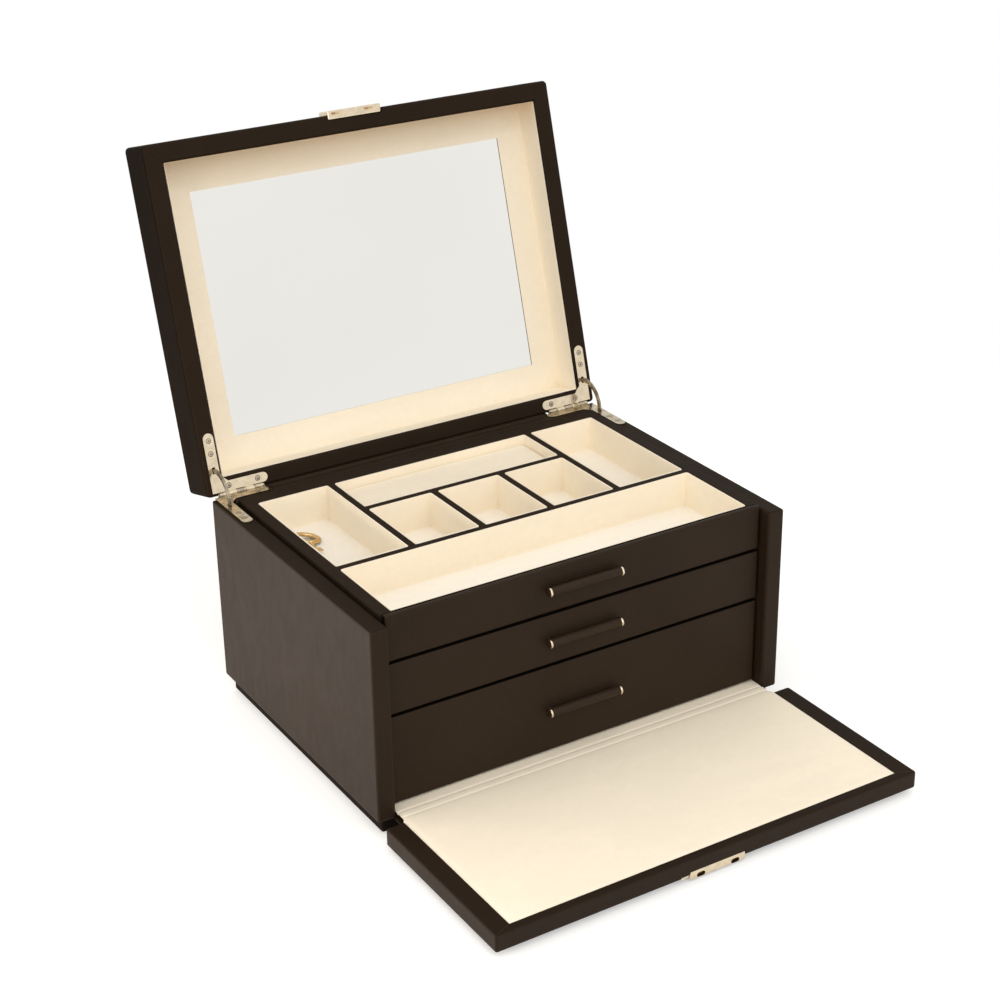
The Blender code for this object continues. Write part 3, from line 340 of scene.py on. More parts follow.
def link_up(tree, shader, colour, bumps, roughness=None):
    """Links the colour, the roughness and a chain of bumps, each (height, distance, strength)."""
    tree.links.new(colour, shader.inputs["Base Color"])
    if roughness is not None:
        tree.links.new(roughness, shader.inputs["Roughness"])
    chained = {}
    for height, distance, strength in bumps:
        values = {"Distance": distance, "Strength": strength, "Height": height, **chained}
        chained = {"Normal": put(tree, "ShaderNodeBump", values).outputs["Normal"]}
    tree.links.new(chained["Normal"], shader.inputs["Normal"])


def shade(colour, factor):
    return tuple(min(1.0, c * factor) for c in colour)


def shaded_tone(colour):
    """Suede darker and warmer: painted shade."""
    return tuple(c * f for c, f in zip(colour, SHADE_TINT))


def blend(first, second, share):
    return tuple(a + (b - a) * share for a, b in zip(first, second))


def leather_finish(name, colour, roughness, grain=GRAIN, specular=0.095):
    """Smooth calf leather: fine pebbles, pores, soft wrinkles and slow changes of tone."""
    mat, tree, shader, coords = new_finish(name, roughness, specular=specular)
    pebbles = cells_of(tree, coords, 1 / grain)
    pores = noise_of(tree, coords, 2400.0, 2.0)
    wrinkles = noise_of(tree, stretched(tree, coords, (1.0, 1.0, 0.45)), 120.0, 5.0, 0.6, 0.3)
    tone = noise_of(tree, coords, 16.0, 4.0, 0.55)
    dark = between(tree, tone, (0.35, 0.68), shade(colour, 0.92), shade(colour, 1.10))
    lifted = between(tree, pebbles, (0.15, 0.75), dark, shade(colour, 1.7), (0.35, 0.0))
    dull = remap(tree, wrinkles, (0.3, 0.7), (roughness - 0.03, roughness + 0.04))
    bumps = ((wrinkles, 0.0002, 0.06), (pebbles, 0.00012, 0.24), (pores, 0.00004, 0.25))
    link_up(tree, shader, lifted, bumps, dull)
    return mat


def suede_finish(name, colour, darker_above=None):
    """Napped suede: brushed patches, fine fibres and a soft sheen.

    Between two heights, if they are given, it turns darker and warmer: painted shade cast by the lid's
    wall.
    """
    mat, tree, shader, coords = new_finish(name, 0.92, specular=0.18)
    shader.inputs["Sheen Weight"].default_value = 0.10
    shader.inputs["Sheen Roughness"].default_value = 0.55
    shader.inputs["Sheen Tint"].default_value = (1.0, 0.95, 0.86, 1.0)
    brushed = noise_of(tree, stretched(tree, coords, (0.55, 1.0, 1.0)), 26.0, 5.0, 0.58, 0.8)
    mottle = noise_of(tree, coords, 210.0, 4.0, 0.6)
    fibre = noise_of(tree, stretched(tree, coords, (0.35, 1.0, 1.0)), 2100.0, 3.0, 0.6)
    patches = between(tree, brushed, (0.36, 0.66), shade(colour, 0.97), shade(colour, 1.03))
    flecks = between(tree, mottle, (0.35, 0.7), patches, shade(colour, 0.93), (0.0, 0.45))
    napped = between(tree, fibre, (0.3, 0.75), flecks, shade(colour, 1.06), (0.0, 0.5))
    # Painted shade: darker and warmer between the given heights
    if darker_above:
        height = put(tree, "ShaderNodeSeparateXYZ", {0: coords}).outputs["Z"]
        napped = between(tree, height, darker_above, napped, shaded_tone(colour))
    bumps = ((brushed, 0.0003, 0.12), (mottle, 0.00016, 0.25), (fibre, 0.00010, 0.45))
    link_up(tree, shader, napped, bumps, remap(tree, mottle, (0.3, 0.7), (0.86, 1.0)))
    return mat


def metal_finish(name, colour, roughness, brush=LONG_BRUSH, dim=0.90, bright=1.04):
    """Plated metal with a faint brushed grain, small marks and slow cloudiness, partly uneven plating and
    partly painted reflection patches where dim and bright lie far apart.
    """
    mat, tree, shader, coords = new_finish(name, roughness, metallic=1.0)
    lines = noise_of(tree, stretched(tree, coords, brush), 1.0, 4.0, 0.65)
    cloud = noise_of(tree, coords, 240.0, 4.0, 0.55, 0.3)
    marks = cells_of(tree, coords, 420.0)
    tinted = between(tree, cloud, (0.36, 0.60), shade(colour, dim), shade(colour, bright))
    dull = remap(tree, cloud, (0.3, 0.7), (roughness - 0.04, roughness + 0.06))
    link_up(tree, shader, tinted, ((marks, 0.00005, 0.05), (lines, 0.00003, 0.10)), dull)
    return mat


def mirror_finish(name, colour):
    """Silvered glass with a barely uneven polish."""
    mat, tree, shader, coords = new_finish(name, 0.015, metallic=1.0)
    slow = noise_of(tree, coords, 5.0, 2.0, 0.4)
    haze = noise_of(tree, coords, 60.0, 4.0, 0.6)
    tinted = between(tree, slow, (0.35, 0.65), shade(colour, 0.985), shade(colour, 1.02))
    dull = remap(tree, haze, (0.4, 0.8), (0.008, 0.030))
    link_up(tree, shader, tinted, ((slow, 0.00003, 0.05),), dull)
    return mat


def felt_finish(name, colour):
    """Pressed felt: tangled fibres and small pills."""
    mat, tree, shader, coords = new_finish(name, 1.0, specular=0.1)
    fibres = noise_of(tree, stretched(tree, coords, (1.0, 0.4, 1.0)), 1500.0, 4.0, 0.7, 0.6)
    pills = cells_of(tree, coords, 380.0)
    mixed = between(tree, fibres, (0.3, 0.7), shade(colour, 0.7), shade(colour, 1.7))
    link_up(tree, shader, mixed, ((pills, 0.0002, 0.3), (fibres, 0.0002, 0.6)))
    return mat


def covered_board_finish(name, colour):
    """Thin leathercloth glued on board: a tighter, flatter grain than the outside."""
    mat, tree, shader, coords = new_finish(name, 0.72, specular=0.04)
    grain = cells_of(tree, coords, 1500.0)
    weave = noise_of(tree, coords, 320.0, 4.0, 0.6)
    mixed = between(tree, weave, (0.35, 0.65), shade(colour, 0.8), shade(colour, 1.3))
    dull = remap(tree, weave, (0.3, 0.7), (0.55, 0.72))
    link_up(tree, shader, mixed, ((weave, 0.0002, 0.1), (grain, 0.00010, 0.3)), dull)
    return mat


def finish_named(name):
    """The named material, made on first use from the colours in the panel."""
    mat = bpy.data.materials.get(name)
    if mat is not None:
        return mat
    tones = bpy.context.scene.jewel_box_finishes
    leather, suede, gold, gloss = tones.leather, tones.suede, tones.gold, tones.leather_roughness
    recipes = {
        "calf_leather": (leather_finish, leather, gloss),
        "handle_leather": (leather_finish, shade(leather, 1.25), gloss - 0.04, FINE_GRAIN),
        # Darker copies of the calf leather, painted shade: the plinth, the lid, top faces, the lid's sides
        # and the drawer fronts' edges
        "plinth_leather": (leather_finish, shade(leather, 0.45), 0.7, GRAIN, 0.05),
        "lid_leather": (leather_finish, shade(leather, 0.80), 0.52, GRAIN, 0.05),
        "rim_leather": (leather_finish, shade(leather, 0.72), 0.6, FINE_GRAIN, 0.05),
        "lid_side_leather": (leather_finish, shade(leather, 0.42), 0.7, GRAIN, 0.025),
        "edge_dye": (leather_finish, shade(leather, 0.16), 0.8, FINE_GRAIN, 0.02),
        # The boards' cloth: the leather darkened, partly its own tone and partly painted shade in the gaps
        # between the drawers
        "board_cloth": (covered_board_finish, shade(leather, 0.8)),
        "cream_suede": (suede_finish, suede),
        # Lid suede darker towards its wall and the lid's down-facing wall darker: painted shade; lining
        # floors paler: painted light
        "lid_suede": (suede_finish, suede, LID_SHADE_HEIGHTS),
        "brushed_suede": (suede_finish, shaded_tone(suede)),
        "pale_suede": (suede_finish, blend(suede, LIT_TINT, LIT_SHARE)),
        "pale_gold": (metal_finish, gold, 0.15),
        # Case leaves, pins and stays darker, with dim and bright far apart: painted shade and painted
        # reflection patches
        "worn_gold": (metal_finish, shade(gold, 0.72), 0.20, LONG_BRUSH, 0.70, 1.12),
        "stay_gold": (metal_finish, shade(gold, 0.36), 0.26, LONG_BRUSH, 0.6, 1.5),
        "key_brass": (metal_finish, tones.brass, 0.24, KEY_BRUSH),
        # Near-black disc under each screw head and in its cross: painted shade
        "screw_well": (metal_finish, shade(tones.screw, 0.22), 0.55, ROUND_BRUSH),
        "screw_metal": (metal_finish, tones.screw, 0.36, ROUND_BRUSH),
        "mirror_silver": (mirror_finish, tones.silver),
        "base_felt_black": (felt_finish, tones.felt),
    }
    make, *settings = recipes[name]
    return make(name, *settings)


def cover(groups):
    """Gives groups of the frame's pieces their finishes."""
    for finish, names in groups.items():
        for name in names:
            mesh = frame["nodes"][name].data
            mesh.materials.clear()
            mesh.materials.append(finish_named(finish))


def change(obj, finish, chosen):
    """Another finish on the faces whose normal is chosen, such as painted shade on a drawer front's edges.
    """
    obj.data.materials.append(finish_named(finish))
    for face in obj.data.polygons:
        if chosen(face.normal):
            face.material_index = 1


def set_down(name, data):
    """A new object in the scene."""
    obj = bpy.data.objects.new(name, data)
    bpy.context.scene.collection.objects.link(obj)
    return obj


def mesh_of(name, bm):
    mesh = bpy.data.meshes.new(name)
    bm.to_mesh(mesh)
    bm.free()
    return mesh


def make_piece(name, bm, finish, body=None, stands_for=(), sharp=40.0):
    """Makes an object of a finished shape, shades it and hangs it on its body."""
    mesh = mesh_of(name, bm)
    mesh.materials.append(finish_named(finish))
    mesh.shade_smooth()
    mesh.set_sharp_from_angle(angle=math.radians(sharp))
    obj = set_down(name, mesh)
    if body:
        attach(obj, body)
    if stands_for:
        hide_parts(*stands_for)
    return obj


def face_out(bm):
    """Turns every face outward."""
    bmesh.ops.recalc_face_normals(bm, faces=bm.faces)


def shift(bm, by):
    """Moves a whole shape."""
    bmesh.ops.translate(bm, vec=by, verts=bm.verts)


def carry(bm, matrix):
    """Moves and turns a whole shape."""
    bmesh.ops.transform(bm, matrix=matrix, verts=bm.verts)


def whole(bm):
    return bm.verts[:] + bm.edges[:] + bm.faces[:]


def new_verts(made):
    """The corners among what an operator has made."""
    return [v for v in made["geom"] if isinstance(v, bmesh.types.BMVert)]


def box_shape(low, high):
    """A box between two corners."""
    bm = bmesh.new()
    bmesh.ops.create_cube(bm, size=1.0)
    low, high = Vector(low), Vector(high)
    bmesh.ops.scale(bm, vec=high - low, verts=bm.verts)
    shift(bm, (low + high) / 2)
    return bm


def lies_at(face, axis, value):
    """Whether a face's corners all lie at a value of one axis."""
    return all(abs(v.co[axis] - value) < 1e-6 for v in face.verts)


def face_at(bm, axis, value):
    return next(f for f in bm.faces if lies_at(f, axis, value))


def uprights(bm):
    """The edges that run up and down."""
    return [e for e in bm.edges if abs(e.verts[0].co.z - e.verts[1].co.z) > 1e-6]


def cut_across(bm, geom, axis, value):
    """Cuts through what is given, where one axis has a value."""
    way = Vector([float(i == axis) for i in range(3)])
    bmesh.ops.bisect_plane(bm, geom=geom, dist=1e-7, plane_co=way * value, plane_no=way)


def round_off(bm, edges, radius, segments=3):
    bmesh.ops.bevel(bm, geom=list(edges), offset=radius, offset_type="OFFSET", segments=segments,
                    profile=0.5, affect="EDGES", clamp_overlap=False, material=-1)


def back_with_card(obj, thickness):
    """Live card outside a lining's cloth, and a live bevel on its thin turned edges."""
    solid = obj.modifiers.new("card", "SOLIDIFY")
    solid.thickness = thickness
    solid.offset = -1.0
    solid.use_even_offset = True
    bevel = obj.modifiers.new("turned_edge", "BEVEL")
    bevel.width = thickness * 0.3
    bevel.segments = 2
    bevel.limit_method = "ANGLE"
    bevel.angle_limit = math.radians(50)
    bevel.profile = 0.5
    bevel.material = -1


def lining_shape(low, high, corner, floor_edge, opening="top", window=None):
    """An open box of cloth with rounded upright corners and a rounded turn at its floor.

    The opening is at the top or the bottom, and a window (x0, x1, y0, y1) cuts the floor.
    """
    bm = box_shape(low, high)
    open_z, floor_z = (high[2], low[2]) if opening == "top" else (low[2], high[2])
    bmesh.ops.delete(bm, geom=[face_at(bm, 2, open_z)], context="FACES_ONLY")
    round_off(bm, uprights(bm), corner)
    round_off(bm, face_at(bm, 2, floor_z).edges, floor_edge)
    if window:
        x0, x1, y0, y1 = window
        for axis, value in ((0, x0), (0, x1), (1, y0), (1, y1)):
            flat = [f for f in bm.faces if lies_at(f, 2, floor_z)]
            edges = {e for f in flat for e in f.edges}
            cut_across(bm, flat + list(edges) + list({v for f in flat for v in f.verts}), axis, value)
        middles = [(f, f.calc_center_median()) for f in bm.faces if lies_at(f, 2, floor_z)]
        inside = [f for f, spot in middles if x0 < spot.x < x1 and y0 < spot.y < y1]
        bmesh.ops.delete(bm, geom=inside, context="FACES")
    face_out(bm)
    return bm


def line_box(name, low, high, sizes, body, stands_for):
    """One suede lining: inner faces at the given box, its card outside them."""
    thick = sizes.lining
    outer_low = (low[0] - thick, low[1] - thick, low[2] - thick)
    outer_high = (high[0] + thick, high[1] + thick, high[2])
    bm = lining_shape(outer_low, outer_high, sizes.corner + thick, sizes.floor_edge + thick)
    piece = make_piece(name, bm, "cream_suede", body, (stands_for,))
    # Lining floors paler: painted light
    change(piece, "pale_suede", lambda way: abs(way.z) > LINING_FLOOR)
    back_with_card(piece, thick)


def pocket_places():
    """The tray's compartments as (x0, x1, y0, y1)."""
    low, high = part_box("top_drawer_rim")
    half = high.x - SIDE_RIM
    front, rear = low.y + FRONT_BAR, high.y - REAR_RIM
    front_line = front + FRONT_POCKET
    middle = front_line + DIVIDER
    centre = half - SIDE_POCKET - DIVIDER
    rear_line = rear - REAR_POCKET - DIVIDER
    cell = (centre * 2 - DIVIDER * 2) / 3
    places = {"front": (-half, half, front, front_line),
              "left": (-half, -half + SIDE_POCKET, middle, rear),
              "right": (half - SIDE_POCKET, half, middle, rear),
              "ring": (-centre, centre, rear - REAR_POCKET, rear)}
    for i, word in enumerate(("left", "middle", "right")):
        start = -centre + i * (cell + DIVIDER)
        places[f"cell_{word}"] = (start, start + cell, middle, rear_line)
    return places


def closed_box(node):
    """A lid node's lowest and highest corners with the lid closed."""
    back = LID_OPENING.inverted()
    points = [back @ v.co for v in frame["nodes"][node].data.vertices]
    return [Vector([end(p[i] for p in points) for i in range(3)]) for end in (min, max)]


def ridge(start, end, width, height, up):
    """A low rounded ridge from one point to another, on a face that looks along up."""
    bm = bmesh.new()
    bmesh.ops.create_circle(bm, segments=10, radius=0.5, cap_ends=True)
    bmesh.ops.bisect_plane(bm, geom=whole(bm), dist=1e-6, plane_co=(0, 0, 0), plane_no=(0, -1, 0),
                           clear_outer=True)
    along = Vector(end) - Vector(start)
    made = bmesh.ops.extrude_face_region(bm, geom=bm.faces[:])
    bmesh.ops.translate(bm, verts=new_verts(made), vec=(0, 0, 1))
    side = along.normalized().cross(Vector(up))
    turn = Matrix((side * width, Vector(up) * height * 2, along)).transposed().to_4x4()
    carry(bm, Matrix.Translation(start) @ turn)
    face_out(bm)
    return bm


def corner_seams(low, high, inner_low, inner_high, z, up, width):
    """Two ridges from a border's inner front corners to its outer ones."""
    seams = []
    for side, _ in SIDES:
        inner = Vector((side * inner_high.x, inner_low.y, z))
        outer = Vector((side * high.x, low.y, z))
        way = (outer - inner).normalized()
        seams.append(ridge(inner + way * SEAM_START, outer - way * SEAM_END, width, SEAM_HEIGHT, up))
    return joined(seams)


def joined(shapes):
    """Several shapes in one mesh."""
    bm = bmesh.new()
    for shape in shapes:
        mesh = mesh_of("part", shape)
        bm.from_mesh(mesh)
        bpy.data.meshes.remove(mesh)
    return bm


def turned_along_x(profile, steps, closed=False):
    """A shape turned about the X axis from (x, radius) points."""
    bm = bmesh.new()
    verts = [bm.verts.new((x, 0, radius)) for x, radius in profile]
    pairs = list(zip(verts, verts[1:])) + ([(verts[-1], verts[0])] if closed else [])
    edges = [bm.edges.new(pair) for pair in pairs]
    bmesh.ops.spin(bm, geom=verts + edges, cent=(0, 0, 0), axis=(1, 0, 0), angle=math.tau, steps=steps,
                   use_merge=True, use_duplicate=False)
    bmesh.ops.remove_doubles(bm, verts=bm.verts, dist=1e-6)
    face_out(bm)
    return bm


def screw_head(radius, proud):
    """A countersunk head, standing on z = 0, with a cross recess pressed in its dome."""
    bm = bmesh.new()
    bmesh.ops.create_circle(bm, segments=20, radius=radius, cap_ends=True)
    slot, arm = radius * CROSS_HALF_SHARE, radius * CROSS_REACH_SHARE
    for axis in (0, 1):
        for place in (-arm, -slot, slot, arm):
            cut_across(bm, whole(bm), axis, place)
    for v in bm.verts:
        v.co.z = proud * (1 - 0.55 * (v.co.xy.length / radius) ** 2)
    cross = []
    for face in bm.faces:
        near, far = sorted(abs(c) for c in face.calc_center_median().xy)
        if near < slot and far < arm:
            cross.append(face)
    # The recess faces take the second, near-black finish: painted shade
    made = bmesh.ops.extrude_face_region(bm, geom=cross)
    for face in made["geom"]:
        if isinstance(face, bmesh.types.BMFace):
            face.material_index = 1
    sunk = new_verts(made)
    bmesh.ops.delete(bm, geom=cross, context="FACES_ONLY")
    bmesh.ops.translate(bm, verts=sunk, vec=(0, 0, -proud * 0.8))
    rim = [e for e in bm.edges if e.is_boundary and min(v.co.xy.length for v in e.verts) > radius * 0.9]
    for v in new_verts(bmesh.ops.extrude_edge_only(bm, edges=rim)):
        v.co.z = 0.0
    bmesh.ops.contextual_create(bm, geom=[e for e in bm.edges if e.is_boundary])
    face_out(bm)
    return bm


def height_at(knots, place):
    """The height at a place along (place, height) knots, eased from each to the next."""
    i = max(i for i in range(len(knots) - 1) if knots[i][0] <= place + 1e-9)
    (start, low), (end, high) = knots[i], knots[i + 1]
    t = (place - start) / (end - start)
    return low + (high - low) * t * t * (3 - 2 * t)


def cloth_grid(columns, rows):
    """A unit grid, with the rows counted from the rear."""
    bm = bmesh.new()
    bmesh.ops.create_grid(bm, x_segments=columns, y_segments=rows, size=0.5)
    return bm


def thicken(bm, thickness, upward=True):
    """Gives a drawn cloth its thickness, with its face upward if asked."""
    face_out(bm)
    if upward and sum(f.normal.z for f in bm.faces) < 0:
        bmesh.ops.reverse_faces(bm, faces=bm.faces)
    bmesh.ops.solidify(bm, geom=list(bm.faces), thickness=thickness)
    face_out(bm)
    return bm


def soft_band(x_half, rear, front, heights, thickness):
    """A strip of cloth across the fold: heights are (share from rear to front, z of its upper face)."""
    bm = cloth_grid(72, 18)
    for v in bm.verts:
        share = 0.5 - v.co.y
        x = v.co.x * 2 * x_half
        wave = 0.00010 * noise.noise(Vector((x * 60, share * 5, 1.7))) * math.sin(math.pi * share)
        v.co = Vector((x, rear + (front - rear) * share, height_at(heights, share) + wave))
    return thicken(bm, thickness)


def cloth_over(rows, knots, sill_half, panel_half, thickness):
    """A cloth drawn row by row over (distance to the front, height) knots, wider on the flap."""
    bm = cloth_grid(96, len(rows) - 1)
    front = -knots[-1][0]
    for v in bm.verts:
        y = rows[round((0.5 - v.co.y) * (len(rows) - 1))]
        on_flap = min(1.0, max(0.0, (-WIDENS_AT - y) / WIDENS_OVER))
        fray = FRAY * (0.5 + 0.5 * noise.noise(Vector((y * 900, v.co.x, 4.2)))) * (1 - on_flap)
        half = sill_half + (panel_half - sill_half) * on_flap - fray
        x = v.co.x * 2 * half
        turned = max(0.0, 1 - (half - abs(x)) / TURN_IN, 1 - (y - front) / TURN_IN)
        wave = 0.00008 * noise.noise(Vector((x * 30, y * 40, 2.3)))
        v.co = Vector((x, y, height_at(knots, -y) + wave * (1 - turned) - TURN_DOWN * turned ** 2))
    return thicken(bm, thickness)


def bent_strip(path, x_half, thickness):
    """A strip of leather along a path of (y, z) points, its corners rounded."""
    path = [Vector((0, y, z)) for y, z in path]
    points = [path[0]]
    for before, here, after in zip(path, path[1:], path[2:]):
        one = here + (before - here).normalized() * FOLD_CORNER
        two = here + (after - here).normalized() * FOLD_CORNER
        for k in range(5):
            t = k / 4
            points.append(one * (1 - t) ** 2 + here * 2 * t * (1 - t) + two * t ** 2)
    points.append(path[-1])
    bm = cloth_grid(60, len(points) - 1)
    for v in bm.verts:
        point = points[round((0.5 - v.co.y) * (len(points) - 1))]
        x = v.co.x * 2 * x_half
        wave = 0.00006 * noise.noise(Vector((x * 40, point.z * 90, 3.1)))
        v.co = point + Vector((x, wave, 0))
    return thicken(bm, thickness, upward=False)


class JEWELBOX_OT_cover_leather(bpy.types.Operator):
    """Cover the case, lid, flap, fronts and boards"""
    bl_idname = "jewelbox.cover_leather"
    bl_label = "Cover in leather"

    def execute(self, context):
        cover(COVERED_NODES)
        # The lid's sides take a much darker copy of the leather: painted shade
        change(frame["nodes"]["lid_frame"], "lid_side_leather", lambda way: abs(way.x) > TURNED)
        # Top faces of the side panels and the flap take a darker copy of the leather: painted shade
        for name in ("side_panel_left", "side_panel_right", "flap_board"):
            change(frame["nodes"][name], "rim_leather", lambda way: way.z > TURNED)
        # Drawer fronts' edges near black: painted shade of the gaps between drawers
        for word in DRAWERS:
            self.paint_edge_shade(frame["nodes"][f"{word}_front"], NEVER if word == "top_drawer" else TURNED)
        return {"FINISHED"}

    def paint_edge_shade(self, front, top):
        """Gives a drawer front's edges a near-black finish, painted shade of the gaps between drawers; its
        top edge only where that looks up far enough.
        """
        change(front, "edge_dye", lambda way: way.z > top or way.z < -TURNED or abs(way.x) > TURNED)


class JEWELBOX_OT_plate_fittings(bpy.types.Operator):
    """Plate the hinges, stays, catch and lock, and silver the mirror"""
    bl_idname = "jewelbox.plate_fittings"
    bl_label = "Plate fittings"

    def execute(self, context):
        cover(PLATED_NODES)
        return {"FINISHED"}


class JEWELBOX_OT_fit_handles(bpy.types.Operator):
    """Fit each drawer's leather grip, its two gold rings and its feet"""
    bl_idname = "jewelbox.fit_handles"
    bl_label = "Fit the handles"

    def execute(self, context):
        for word in DRAWERS:
            low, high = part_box(f"{word}_handle_bar")
            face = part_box(f"{word}_front")[0].y
            middle = Vector((0, face - GRIP_OUT, (low.z + high.z) / 2))
            grip = self.grip()
            shift(grip, middle)
            make_piece(f"{word}_handle_grip", grip, "handle_leather", word,
                       (f"{word}_handle_bar",), 50.0)
            bm = joined([shape(side) for shape in (self.ring, self.foot) for side, _ in SIDES])
            shift(bm, middle)
            make_piece(f"{word}_handle_rings", bm, "pale_gold", word,
                       [f"{word}_handle_post_{end}" for _, end in SIDES], 50.0)
        return {"FINISHED"}

    def grip(self):
        """A round bar with soft ends."""
        end = RING_PLACE + GRIP_PAST_RING
        half = ((end, 0), (end, GRIP_RADIUS - GRIP_ROUND), (end - RING_ROUND, GRIP_RADIUS - RING_ROUND),
                (end - GRIP_ROUND, GRIP_RADIUS))
        return turned_along_x([(-x, radius) for x, radius in half] + list(half[::-1]), HANDLE_STEPS)

    def ring(self, side):
        """A thin band round the grip."""
        x, inside = side * RING_PLACE, GRIP_RADIUS - RING_SINK
        band = ((x - RING_HALF, inside), (x - RING_HALF, RING_RADIUS - RING_ROUND),
                (x - RING_HALF + RING_ROUND, RING_RADIUS), (x + RING_HALF - RING_ROUND, RING_RADIUS),
                (x + RING_HALF, RING_RADIUS - RING_ROUND), (x + RING_HALF, inside))
        return turned_along_x(band, HANDLE_STEPS, closed=True)

    def foot(self, side):
        """A round foot from the front board to the grip."""
        bm = bmesh.new()
        bmesh.ops.create_cone(bm, cap_ends=True, segments=20, radius1=FOOT_RADIUS, radius2=FOOT_RADIUS,
                              depth=GRIP_OUT - FOOT_START)
        spot = (side * (RING_PLACE - FOOT_INSET), (GRIP_OUT + FOOT_START) / 2, 0)
        turn = Matrix.Translation(spot) @ Matrix.Rotation(math.pi / 2, 4, "X")
        carry(bm, turn)
        return bm


class JEWELBOX_OT_line_tray(bpy.types.Operator):
    """Line the seven compartments of the top drawer and lay the ring pad in its recess"""
    bl_idname = "jewelbox.line_tray"
    bl_label = "Line the tray"

    def execute(self, context):
        sizes = context.scene.jewel_box_sizes
        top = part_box("top_drawer_rim")[1].z - RIM_CLEARANCE
        for word, (x0, x1, y0, y1) in pocket_places().items():
            line_box(f"tray_lining_{word}", (x0 + sizes.lip, y0 + sizes.lip, TRAY_FLOOR),
                     (x1 - sizes.lip, y1 - sizes.lip, top), sizes, "top_drawer", "top_drawer_insert")
        self.lay_ring_pad(sizes)
        return {"FINISHED"}

    def lay_ring_pad(self, sizes):
        """A crowned pad with rounded sides, divided more finely towards its edges."""
        low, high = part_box("ring_pad")
        margin = sizes.lip + PAD_MARGIN
        low = low + Vector((margin, margin, RIM_CLEARANCE))
        high = high - Vector((margin, margin, sizes.pad_crown * 0.5))
        half, middle = (high - low) / 2, (high + low) / 2
        bm = bmesh.new()
        bmesh.ops.create_cube(bm, size=2.0)
        bmesh.ops.subdivide_edges(bm, edges=bm.edges[:], cuts=23, use_grid_fill=True)
        core = half - Vector((PAD_ROUND, PAD_ROUND, PAD_ROUND))
        for v in bm.verts:
            u, w = v.co.x, v.co.y
            bent = Vector([math.copysign(1 - (1 - abs(c)) ** PAD_BUNCHING, c) for c in v.co])
            point = Vector([bent[i] * half[i] for i in range(3)])
            inner = Vector([max(-core[i], min(core[i], point[i])) for i in range(3)])
            out = point - inner
            if out.length > 1e-9:
                point = inner + out.normalized() * PAD_ROUND
            crown = sizes.pad_crown * (1 - u ** 4) * (1 - w ** 4)
            dimple = PAD_DIMPLE * noise.noise(Vector((u * 9, w * 4, 0.6)))
            v.co = middle + point + Vector((0, 0, crown + dimple if v.co.z > 0 else 0.0))
        face_out(bm)
        pad = make_piece("ring_pad_cushion", bm, "cream_suede", "top_drawer", ("ring_pad",), 80.0)


class JEWELBOX_OT_line_drawers(bpy.types.Operator):
    """Line the two lower drawers"""
    bl_idname = "jewelbox.line_drawers"
    bl_label = "Line the drawers"

    def execute(self, context):
        sizes = context.scene.jewel_box_sizes
        card = sizes.lining
        for word in ("bottom_drawer", "middle_drawer"):
            low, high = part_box(f"{word}_lining")
            line_box(f"{word}_suede", low + Vector((card, card, card)), high - Vector((card, card, 0)),
                     sizes, word, f"{word}_lining")
        return {"FINISHED"}


class JEWELBOX_OT_line_lid(bpy.types.Operator):
    """Line the lid, frame its mirror and hang the leather across its fold"""
    bl_idname = "jewelbox.line_lid"
    bl_label = "Line the lid"

    def execute(self, context):
        sizes = context.scene.jewel_box_sizes
        low, high = closed_box("lid_lining")
        glass_low, glass_high = closed_box("mirror")
        window = (glass_low.x + MIRROR_LAP, glass_high.x + MIRROR_GAP, glass_low.y + MIRROR_LAP,
                  glass_high.y - MIRROR_LAP)
        bm = lining_shape(low, (high.x, high.y, high.z - MAT_DEPTH + LID_CARD), sizes.corner,
                          sizes.floor_edge * LID_FLOOR_EDGE_SHARE, "bottom", window)
        carry(bm, LID_OPENING)
        piece = make_piece("lid_lining_suede", bm, "lid_suede", "lid", ("lid_lining",))
        # The lining's down-facing wall in the open lid darker and warmer: painted shade
        change(piece, "brushed_suede", lambda way: way.z > MIRROR_BORDER_TOP)
        back_with_card(piece, LID_CARD)
        self.hang_fold(sizes.fold)
        return {"FINISHED"}

    def hang_fold(self, thick):
        """Leather from the back panel to the lid's rear wall."""
        low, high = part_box("lid_spine_leather")
        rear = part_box("back_panel")[1].y + FOLD_BACK_GAP
        path = ((rear + thick / 2, low.z + FOLD_GAP), (rear + thick / 2, high.z - FOLD_RISE),
                (high.y - FOLD_REACH, high.z - thick / 2 - 0.0001), (high.y - FOLD_GAP, high.z - FOLD_DROP))
        bm = bent_strip(path, high.x - FOLD_GAP, thick)
        fold = make_piece("lid_fold_leather", bm, "calf_leather", None,
                          ("lid_spine_leather",), 60.0)
        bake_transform(fold)


